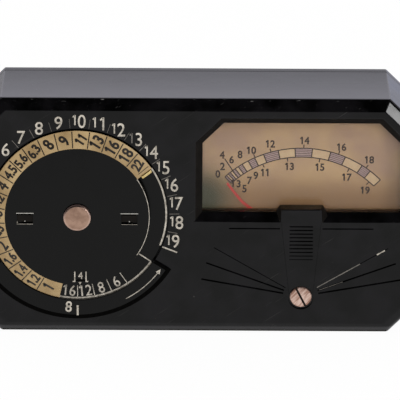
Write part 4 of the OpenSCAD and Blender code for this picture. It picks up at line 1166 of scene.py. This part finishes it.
# painted highlight: the rim of the head painted lighter
rim_highlight = add_node(tree, "MapRange", {"Value": middle, "From Min": 2.9 * MM, "From Max": 3.5 * MM})
bright = add_node(tree, "Mix", {0: rim_highlight, 6: tint, 7: srgb("#c9ab9c")}, data_type="RGBA")
rough = add_node(
    tree, "MapRange", {"Value": blotch, "From Min": 0.3, "From Max": 0.7, "To Min": 0.25, "To Max": 0.4}
)
plug(shader, {"Base Color": bright, "Roughness": rough})
dial_stud.data.materials.append(copper)
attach(dial_stud, "case")
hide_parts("dial_stud")

# Zero screw
# A slotted screw with a rounded head, copper plated like the stud. Turning it swings the zero arm
# behind the face by an eccentric pin.
zero_head = 2.8 * MM
zero_top = 0.7 * MM
zero_under = -0.4 * MM
zero_shaft = 1.5 * MM
zero_end = -4.1 * MM
pin_radius = 0.5 * MM
pin_throw = 1.2 * MM
pin_start = zero_end + 0.1 * MM
pin_end = face_y - zero_high.y
slot_lean = 26.6
slot_half = Vector((0.28 * MM, MM, 2 * zero_head))
slot_middle = Vector((zero_x, face_y - MM, zero_z))
zero_line = [
    (0, zero_top), (zero_head - 0.45 * MM, zero_top), (zero_head - 0.18 * MM, zero_top - 0.08 * MM),
    (zero_head, zero_top - 0.3 * MM), (zero_head, zero_under), (zero_shaft, zero_under),
    (zero_shaft, zero_end), (0, zero_end),
]
pin_line = tube(0, pin_radius, pin_start, pin_end)
zero_screw = turn("zero_corrector", (zero_x, zero_z), zero_line, steps=64)
carve(zero_screw, turn("pin", (zero_x, zero_z + pin_throw), pin_line, steps=24), "UNION")
cut_slot(zero_screw, slot_middle, slot_half, slot_lean)
smooth(zero_screw)

# Brushed copper: the same plate rubbed with emery, in strokes that rise to the right. They are drawn
# about three times as coarse as real ones, so that they show.
stroke_size = 0.5 * MM
brushed, tree, shader = new_finish("brushed_copper", Metallic=1.0)
place = add_node(tree, "TexCoord").outputs["Object"]
slant = add_node(
    tree,
    "Mapping",
    {"Vector": place, "Rotation": (0, -0.85, 0), "Scale": (7, 1, 1)},
    vector_type="TEXTURE",
)
brush = add_node(tree, "TexNoise", {"Vector": slant, "Scale": 1 / stroke_size, "Detail": 3.0})
shine = add_node(tree, "MapRange", {"Value": brush, "From Min": 0.38, "From Max": 0.62})
tint = add_node(tree, "Mix", {0: shine, 6: srgb("#9c7868"), 7: srgb("#e0c4b6")}, data_type="RGBA")
rough = add_node(
    tree, "MapRange", {"Value": brush, "From Min": 0.3, "From Max": 0.7, "To Min": 0.25, "To Max": 0.45}
)
relief = add_node(tree, "Bump", {"Height": brush, "Strength": 0.3, "Distance": 0.05 * MM})
plug(shader, {"Base Color": tint, "Roughness": rough, "Normal": relief})
zero_screw.data.materials.append(brushed)

# Slot shade: the walls and floor of the slot painted nearly black and dull, a painted shade in the recess.
slot_shade = mottled("slot_shade_paint", 0.3 * MM, ("#120c09", "#3a2c24"), Roughness=0.8)
zero_screw.data.materials.append(slot_shade)
# painted shade on the slot's walls and floor
for face in zero_screw.data.polygons:
    off = abs((face.center - slot_middle).dot(outward(slot_lean)))
    height = face_y - face.center.y
    wall = off < slot_half.x + hair / 2 and hair / 2 < height < zero_top - hair / 2
    bottom = off < slot_half.x and abs(height) < hair / 2
    if wall or bottom:
        face.material_index = 1
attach(zero_screw, "zero_screw")
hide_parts("zero_screw")

# Scale plate
# Sheet brass with a coat of tan paint, screwed to two bosses behind the window.
# Tan paint: matt, darker and browner towards the sill, with painted shade along the top where the
# window's upper edge shades it, stained green by damp at one corner.
dark_low = window_low.z + 1.8 * MM
shade_top = window_high.z - 0.4 * MM
damp_corner = (window_low.x, plate_low.y, window_low.z + 2 * MM)


def dress(node, finish):
    """Give a CAD node a finish in place of its plain one."""
    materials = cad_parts[node].data.materials
    materials.clear()
    materials.append(finish)


tan, tree, shader = new_finish("tan_scale_paint", Roughness=0.9, Specular_IOR_Level=0.1)
place = add_node(tree, "TexCoord").outputs["Object"]
damp = add_node(tree, "TexNoise", {"Vector": place, "Scale": 1 / (9 * MM), "Detail": 5.0})
stain = add_node(tree, "MapRange", {"Value": damp, "From Min": 0.35, "From Max": 0.68})
tint = add_node(tree, "Mix", {0: stain, 6: srgb("#caa97e"), 7: srgb("#b19279")}, data_type="RGBA")
height = add_node(tree, "SeparateXYZ", {0: place}).outputs["Z"]
# darker and browner towards the sill
below = add_node(
    tree,
    "MapRange",
    {"Value": height, "From Min": dark_low, "From Max": dark_low + 9 * MM, "To Min": 0.9, "To Max": 0},
    interpolation_type="SMOOTHSTEP",
)
# painted shade: the top of the plate darkened, where the window's upper edge shades it
above = add_node(
    tree,
    "MapRange",
    {"Value": height, "From Min": shade_top - 7 * MM, "From Max": shade_top, "To Max": 0.45},
    interpolation_type="SMOOTHSTEP",
)
edges = add_node(tree, "Math", {0: below, 1: above}, operation="MAXIMUM")
darker_ends = add_node(tree, "Mix", {0: edges, 6: tint, 7: srgb("#997753")}, data_type="RGBA")
corner = add_node(tree, "VectorMath", {0: place, 1: damp_corner}, operation="DISTANCE")
near_corner = add_node(
    tree,
    "MapRange",
    {"Value": corner, "From Min": 2 * MM, "From Max": 12 * MM, "To Min": 1, "To Max": 0},
    interpolation_type="SMOOTHSTEP",
)
greened = add_node(tree, "Mix", {0: near_corner, 6: darker_ends, 7: srgb("#575540")}, data_type="RGBA")
plug(shader, {"Base Color": greened})
dress("scale_plate", tan)

# Scale print
# The scale of the meter on its plate: an arc of pale and hatched cells, with plain numbers, even ones
# outside it and odd ones inside. The low end is crowded, so one number stands out on a leader line.
band_inner = 25.95 * MM
band_outer = 28.35 * MM
band_high = band_outer - band_inner
band_middle = (band_inner + band_outer) / 2
scale_width = 0.28 * MM
hatch_width = 0.14 * MM
scale_high = 2.1 * MM
scale_gain = 0.09 * MM
cell_angles = (
    44.3, 51.5, 56.7, 66.6, 74.7, 84.4, 93.5, 102.3, 110.2, 115.2,
    119, 122.6, 125, 127, 128.8, 130.3, 131.6, 132.8, 134,
)
# each number with its angle and its radius in mm about the needle's pivot
scale_numbers = (
    (0, 135.4, 30.2), (2, 131.1, 30.9), (4, 127.7, 33.4), (6, 125.6, 30.9), (8, 120.8, 30.9),
    (10, 115, 30.6), (12, 105.3, 30.6), (14, 88.6, 30.5), (16, 70.4, 30.5), (18, 55.5, 30.7),
    (1, 133.5, 25.8), (3, 131, 24.6), (5, 130.4, 22.6), (7, 124.4, 23.6), (9, 119.4, 23.9),
    (11, 113.6, 23.7), (13, 97.6, 23.6), (15, 78.6, 23.7), (17, 60.4, 23.6), (19, 46, 23.6),
)
high_ticks = (114.9, 106.1, 88.9, 70.5, 54.3)
low_ticks = (112.6, 98.2, 79.6, 61.8, 47.9)


def scale_spot(angle, radius):
    """A point of the printed scale, by its angle and radius about the needle's pivot."""
    turned = math.radians(angle)
    return Vector((pivot_x + radius * math.cos(turned), plate_low.y, pivot_z + radius * math.sin(turned)))


def scale_arc(radius, width, start, sweep, coat=paint):
    """A line of ink round the needle's pivot, on the scale plate."""
    steps = max(4, round(sweep))
    return add_arc(radius, width, plate_top, start, sweep, (pivot_x, pivot_z), coat, steps)


span = cell_angles[-1] - cell_angles[0]
prints = [scale_arc(radius, scale_width, cell_angles[0], span) for radius in (band_inner, band_outer)]
pale_cells = []
hatched_cells = []
for number, (start, end) in enumerate(zip(cell_angles, cell_angles[1:])):
    cells = hatched_cells if number % 2 else pale_cells
    cells.append(scale_arc(band_middle, band_high, start, end - start, 0.6 * paint))
    if number % 2:
        for share in (0.2, 0.4, 0.6, 0.8):
            prints.append(scale_arc(band_inner + share * band_high, hatch_width, start, end - start))
for angle in cell_angles:
    prints.append(add_stroke(band_high, scale_width, scale_spot(angle, band_middle), angle))
for angles, radius in ((high_ticks, band_outer + MM / 2), (low_ticks, band_inner - MM / 2)):
    for angle in angles:
        prints.append(add_stroke(MM, scale_width, scale_spot(angle, radius), angle))
leader_start = scale_spot(127.9, 32.2 * MM)
leader_end = scale_spot(129, 26.5 * MM)
leader = leader_end - leader_start
leader_lean = math.degrees(math.atan2(leader.z, leader.x))
prints.append(add_stroke(leader.length, scale_width, (leader_start + leader_end) / 2, leader_lean))
for value, angle, radius in scale_numbers:
    prints.append(add_label(str(value), scale_high, scale_spot(angle, radius * MM), weight=scale_gain))

# Scale ink: a thin brown-black ink, gone brown with age. Under it lie two tints: cream on every other
# cell, and a weak red-violet on the hatched ones.
scale_ink = mottled("scale_ink", 2.5 * MM, ("#1c1008", "#40260f"), Roughness=0.7)
finish_print("scale_print", prints, scale_ink, "case")
cream = mottled("cream_ground", 1.5 * MM, ("#dcbf95", "#c3a37a"), Roughness=0.7)
finish_print("pale_cells", pale_cells, cream, "case")
mauve = mottled("mauve_ground", 1.5 * MM, ("#c0a49a", "#a88e8b"), Roughness=0.7)
finish_print("hatched_cells", hatched_cells, mauve, "case")

# Window glass
# A flat pane of drawn glass set in a fibre gasket behind the window; another covers the cell.
# Drawn glass: smooth and clear, with a low shine; lamp light passes it as through an open window.
pane, tree, shader = new_finish("drawn_glass", Roughness=0.02, IOR=1.3, Transmission_Weight=1)
path = add_node(tree, "LightPath")
clear = add_node(tree, "BsdfTransparent")
both = add_node(tree, "MixShader", {0: path.outputs["Is Shadow Ray"], 1: shader, 2: clear})
plug(tree.nodes["Material Output"], {"Surface": both})
for node in ("window_glass", "cell_glass"):
    dress(node, pane)

# Needle
# A thin strip pointer on the arbor of the moving coil, with a hub and three arms for the balance
# weights. Past its stop it is bowed a little by hand, to line it up, and it is dipped in red lacquer.
needle_front = 6.3 * MM
needle_thick = 0.3 * MM
needle_rest = 135.2
needle_length = 26.9 * MM
needle_bow = 1.25 * MM
root_width = 1.1
tip_narrowing = 0.56
bend_start = 12 * MM
bend_slope = 0.1
stations = 16
hub_radius = 1.3 * MM
hub_proud = 0.3 * MM
hub_reach = hub_radius - 0.1 * MM
hub_front = hub_proud - needle_front
hub_back = -needle_front - needle_thick - hub_proud
staff_radius = 0.4 * MM
arm_radius = 0.25 * MM
arm_reach = 5.2 * MM
pivot = Vector((pivot_x, face_y + needle_front + needle_thick / 2, pivot_z))
hub_line = tube(staff_radius, hub_radius, hub_front, hub_back)
pointer = turn("pointer", (pivot_x, pivot_z), hub_line, steps=32)
for side in (90, 180, 270):
    bpy.ops.object.select_all(action="DESELECT")
    bpy.ops.mesh.primitive_cylinder_add(
        vertices=16,
        radius=arm_radius,
        depth=arm_reach - hub_reach,
        location=pivot + (arm_reach + hub_reach) / 2 * outward(needle_rest + side),
        rotation=(0, math.pi / 2 - math.radians(needle_rest + side), 0),
    )
    carve(pointer, settle(), "UNION")
blade = add_block(
    "blade",
    (hub_reach, -needle_thick / 2, -MM / 2),
    (needle_length, needle_thick / 2, MM / 2),
)
pick(blade, "FACE", lambda centre, normal: abs(normal.x) < 0.5)
bpy.ops.mesh.subdivide(number_cuts=stations - 1)
bpy.ops.object.mode_set(mode="OBJECT")
for step in range(stations + 1):
    reach = hub_reach + (needle_length - hub_reach) * step / stations
    share = reach / needle_length
    rise = max(0, min(bend_slope * (reach - bend_start), needle_bow * math.sin(math.pi * share)))
    pick(blade, "EDGE", lambda a, b: max(abs(a.x - reach), abs(b.x - reach)) < hair)
    width = root_width - tip_narrowing * share
    bpy.ops.transform.resize(value=(1, 1, width), center_override=(reach, 0, 0))
    bpy.ops.transform.translate(value=(0, 0, rise))
    bpy.ops.object.mode_set(mode="OBJECT")
blade.data.transform(Matrix.Translation(pivot) @ Matrix.Rotation(math.radians(-needle_rest), 4, "Y"))
carve(pointer, blade, "UNION")
smooth(pointer)

# Red lacquer: a thin dip, deeper in colour where it ran together.
red = mottled("red_lacquer", 1.5 * MM, ("#e0493c", "#b8382e"), Roughness=0.4)
pointer.data.materials.append(red)
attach(pointer, "needle")
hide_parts("needle")

# Cell bezel
# The ring that holds the light cell's parts in the back cover: turned black Bakelite with a lip at the
# back and a flange inside, held by three screws.
bezel_bore = 20.5 * MM
bezel_edge = 0.3 * MM
lip_radius = 19 * MM
lip_back = cover_back + 1.2 * MM
lip_round = 0.5 * MM
lip_mid = 0.15 * MM
flange_radius = 26.2 * MM
flange_front = face_y - cell_low.y
flange_back = inner_y
hole_circle = 24.3 * MM
hole_radius = 0.85 * MM
hole_front = flange_front + MM
hole_back = flange_back - MM / 2
bezel_line = [
    (bezel_bore, flange_front), (flange_radius, flange_front), (flange_radius, flange_back),
    (bezel_radius, flange_back), (bezel_radius, cover_back + bezel_edge),
    (bezel_radius - bezel_edge, cover_back), (lip_radius + lip_round, cover_back),
    (lip_radius + lip_mid, cover_back + lip_mid), (lip_radius, cover_back + lip_round),
    (lip_radius, lip_back), (bezel_bore, lip_back),
]
hole_line = tube(0, hole_radius, hole_front, hole_back)
cell_bezel = turn("cell_ring_cover", (cell_x, cell_z), bezel_line, steps=128)
for angle in (90, 210, 330):
    hole_x = cell_x + hole_circle * math.cos(math.radians(angle))
    hole_z = cell_z + hole_circle * math.sin(math.radians(angle))
    carve(cell_bezel, turn("bezel_hole", (hole_x, hole_z), hole_line, steps=24))
smooth(cell_bezel)
cell_bezel.data.materials.append(bakelite)
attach(cell_bezel, "case")
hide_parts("cell_bezel")

# Cell baffle
# A honeycomb moulded in black resin, which keeps light from the sides off the cell. Each hole tapers a
# little, so that the moulding leaves its tool.
baffle_low, baffle_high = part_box("cell_baffle")
baffle_radius = 20.45 * MM
baffle_edge = 0.2 * MM
baffle_front = face_y - baffle_low.y
baffle_back = face_y - baffle_high.y
hex_pitch = 5.2 * MM
hex_radius = 2.54 * MM
hex_draft = 0.12 * MM
hex_field = 17 * MM
hex_over = 0.2 * MM
baffle_line = [
    (0, baffle_front), (baffle_radius, baffle_front), (baffle_radius, baffle_back + baffle_edge),
    (baffle_radius - baffle_edge, baffle_back), (0, baffle_back),
]
baffle = turn("honeycomb", (cell_x, cell_z), baffle_line)
holes = []
for row in range(-4, 5):
    for column in range(-5, 6):
        off_x = hex_pitch * (column + row / 2)
        off_z = hex_pitch * row * math.sqrt(3) / 2
        if math.hypot(off_x, off_z) > hex_field:
            continue
        bpy.ops.object.select_all(action="DESELECT")
        bpy.ops.mesh.primitive_cone_add(
            vertices=6,
            radius1=hex_radius - hex_draft,
            radius2=hex_radius + hex_draft,
            depth=baffle_high.y - baffle_low.y + hex_over,
            location=(cell_x + off_x, (baffle_low.y + baffle_high.y) / 2, cell_z + off_z),
            rotation=(-math.pi / 2, 0, 0),
        )
        holes.append(settle())
carve(baffle, gather(holes))
smooth(baffle)

# Black resin: a plain moulding with a soft shine, greyed and dulled by dust in patches.
resin = mottled("black_resin", 3 * MM, ("#0c0c0c", "#1d1b19"), detail=5.0, rough=(0.35, 0.6), IOR=1.4)
baffle.data.materials.append(resin)
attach(baffle, "case")
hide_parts("cell_baffle")

# Works
# The movement, the cell and the small fixings keep their CAD shapes. Each gets the finish of its own
# material: light and dark tint, grain size in mm, stretch along the brushing, metal or not, roughness.
works = (
    (
        "bright_steel", "#b9b8b5", "#7d7b78", 0.3, 6, 1, 0.25, 0.42,
        (
            "movement_screws", "pole_screws", "bridge_screws", "cell_screws", "pointer_stops", "zero_clip",
            "dial_lockwasher", "dial_spring", "front_pivot", "rear_pivot", "glass_retainer",
        ),
    ),
    (
        "turned_brass", "#cbaa66", "#8f713c", 0.35, 8, 1, 0.22, 0.4,
        (
            "scale_pillars", "scale_screws", "dial_nut", "zero_bush", "zero_arm", "core_support",
            "front_bridge", "rear_bridge", "front_jewel", "rear_jewel", "balance_weights", "cell_ring",
            "cell_spring", "solder_lugs",
        ),
    ),
    ("rolled_aluminium", "#c3c4c2", "#8f908e", 0.25, 20, 1, 0.3, 0.5, ("movement_plate", "coil_former")),
    ("red_oxide_paint", "#7d3022", "#4c1c14", 1.5, 1, 0, 0.45, 0.7, ("magnet",)),
    ("machined_iron", "#8a8987", "#565553", 0.4, 10, 1, 0.35, 0.55, ("pole_pieces", "iron_core")),
    ("enamelled_wire", "#b4602f", "#6d3517", 0.12, 25, 0, 0.25, 0.4, ("coil_winding",)),
    ("spring_bronze", "#c69d54", "#80602c", 0.2, 12, 1, 0.2, 0.35, ("front_hairspring", "rear_hairspring")),
    ("vulcanised_fibre", "#6a4630", "#43291a", 0.5, 4, 0, 0.6, 0.85, ("dial_washer", "window_gasket")),
    ("phenolic_sheet", "#6b4527", "#452a16", 0.6, 6, 0, 0.35, 0.55, ("cell_cup", "terminal_block")),
    ("selenium_coat", "#5d6068", "#3b3d43", 0.4, 1, 1, 0.35, 0.6, ("selenium_cell",)),
    ("red_cotton_braid", "#a33a30", "#5a1d18", 0.3, 3, 0, 0.8, 0.95, ("lead_positive",)),
    ("black_cotton_braid", "#3a3835", "#161514", 0.3, 3, 0, 0.8, 0.95, ("lead_negative",)),
)
for name, light, dark, grain, stretch, metal, rough_low, rough_high, nodes in works:
    finish, tree, shader = new_finish(name, Metallic=metal)
    place = add_node(tree, "TexCoord").outputs["Object"]
    drawn = add_node(tree, "Mapping", {"Vector": place, "Scale": (stretch, 1, 1)}, vector_type="TEXTURE")
    fibres = add_node(tree, "TexNoise", {"Vector": drawn, "Scale": 1 / (grain * MM), "Detail": 4.0})
    spread = add_node(tree, "MapRange", {"Value": fibres, "From Min": 0.35, "From Max": 0.65})
    tint = add_node(tree, "Mix", {0: spread, 6: srgb(light), 7: srgb(dark)}, data_type="RGBA")
    rough = add_node(tree, "MapRange", {"Value": spread, "To Min": rough_low, "To Max": rough_high})
    relief = add_node(tree, "Bump", {"Height": fibres, "Strength": 0.2, "Distance": grain * MM / 10})
    plug(shader, {"Base Color": tint, "Roughness": rough, "Normal": relief})
    for node in nodes:
        dress(node, finish)

# Floor
# A pale sweep of paper under the meter; it keeps a trace of the meter's shadow. What the gloss of the
# case mirrors of it is dim far to the left and a little blue far to the right.
far_side = 0.4
glow_share = 0.94
white = srgb("#ffffff")
dim_left = srgb("#bcbac4")
blue_right = srgb("#dfe3ff")
bpy.ops.object.select_all(action="DESELECT")
bpy.ops.mesh.primitive_plane_add(size=12, location=(0, 0, cad_box[0].z - hair))
floor = bpy.context.object
floor.name = "floor"
paper, tree, shader = new_finish("white_paper", Roughness=0.9, Base_Color=srgb("#f4f3f1"))
place = add_node(tree, "TexCoord").outputs["Object"]
path = add_node(tree, "LightPath")
mirrored = path.outputs["Is Glossy Ray"]
seen = add_node(tree, "Math", {0: path.outputs["Is Camera Ray"], 1: mirrored}, operation="MAXIMUM")
seen = add_node(tree, "Math", {0: seen, 1: path.outputs["Is Transmission Ray"]}, operation="MAXIMUM")
share = add_node(tree, "Math", {0: seen, 1: glow_share}, operation="MULTIPLY")
reach = add_node(tree, "SeparateXYZ", {0: place}).outputs["X"]
across = add_node(tree, "MapRange", {"Value": reach, "From Min": -far_side, "From Max": far_side})
sides = add_node(tree, "ValToRGB", {0: across})
sides.color_ramp.elements[0].color = dim_left
sides.color_ramp.elements[1].color = blue_right
for middle in (0.4, 0.6):
    sides.color_ramp.elements.new(middle).color = white
tone = add_node(tree, "Mix", {0: mirrored, 6: white, 7: sides}, data_type="RGBA")
glow = add_node(tree, "Emission", {"Color": tone, "Strength": 1.02})
both = add_node(tree, "MixShader", {0: share, 1: shader, 2: glow})
plug(tree.nodes["Material Output"], {"Surface": both})
floor.data.materials.append(paper)

# Light
# A white room: pale and a little blue behind, dark above the camera. A soft lamp by the camera
# lights the prints, and a small one on the right gleams on the cut corner.
room_level = 0.65
cool_white = (0.97, 0.96, 1.06, 1)
world = bpy.data.worlds.new("room")
bpy.context.scene.world = world
world.use_nodes = True
tree = world.node_tree
aim = add_node(tree, "TexCoord").outputs["Generated"]
depth = add_node(tree, "SeparateXYZ", {0: aim}).outputs["Y"]
behind = add_node(
    tree,
    "MapRange",
    {"Value": depth, "From Min": -0.25, "From Max": 0.35, "To Min": 0.02, "To Max": 1.15},
    interpolation_type="SMOOTHSTEP",
)
path = add_node(tree, "LightPath")
mirrored = path.outputs["Is Glossy Ray"]
soft = add_node(tree, "Mix", {0: mirrored, 2: room_level, 3: behind}, data_type="FLOAT")
plain = add_node(
    tree,
    "Math",
    {0: path.outputs["Is Camera Ray"], 1: path.outputs["Is Transmission Ray"]},
    operation="MAXIMUM",
)
level = add_node(tree, "Mix", {0: plain, 2: soft, 3: 1.0}, data_type="FLOAT")
shade = add_node(tree, "Mix", {0: mirrored, 6: white, 7: cool_white}, data_type="RGBA")
plug(tree.nodes["Background"], {"Color": shade, "Strength": level})
world.cycles.sampling_method = "NONE"
aim_point = Vector((0, 0, 0.032))
lamps = (
    ("front_lamp", (0.15, -1.4, 0.56), 0.5, 6.5, True),
    ("gleam_lamp", (0.711, -0.994, 0.279), 0.2, 2.5, False),
)
for name, spot, size, energy, lights_prints in lamps:
    bpy.ops.object.select_all(action="DESELECT")
    bpy.ops.object.light_add(type="AREA", location=spot)
    lamp = bpy.context.object
    lamp.name = name
    lamp.data.shape = "DISK"
    lamp.data.size = size
    lamp.data.energy = energy
    lamp.visible_diffuse = lights_prints
    lamp.visible_glossy = not lights_prints
    lamp.visible_transmission = False
    lamp.rotation_euler = (aim_point - lamp.location).to_track_quat("-Z", "Y").to_euler()

# Camera
# It looks down on the meter by 20 degrees from far off, so the edges stay near parallel. The width of
# a pixel at the meter gives its lens.
pixel = 0.25665 * MM
frame_pixels = 400
distance = 2.5
elevation = math.radians(20.1)
roll = math.radians(0.29)
target = Vector((1.3 * MM, face_y + band_fall, 36.28 * MM))
bpy.ops.object.select_all(action="DESELECT")
bpy.ops.object.camera_add(
    location=target + distance * Vector((0, -math.cos(elevation), math.sin(elevation))),
    rotation=(math.pi / 2 - elevation, 0, 0),
)
camera = bpy.context.object
camera.rotation_euler = (camera.rotation_euler.to_matrix() @ Matrix.Rotation(roll, 3, "Z")).to_euler()
camera.data.sensor_width = 36
camera.data.lens = camera.data.sensor_width * distance / (frame_pixels * pixel)
camera.data.clip_start = 0.01
bpy.context.scene.camera = camera
bpy.context.scene.view_settings.view_transform = "Standard"
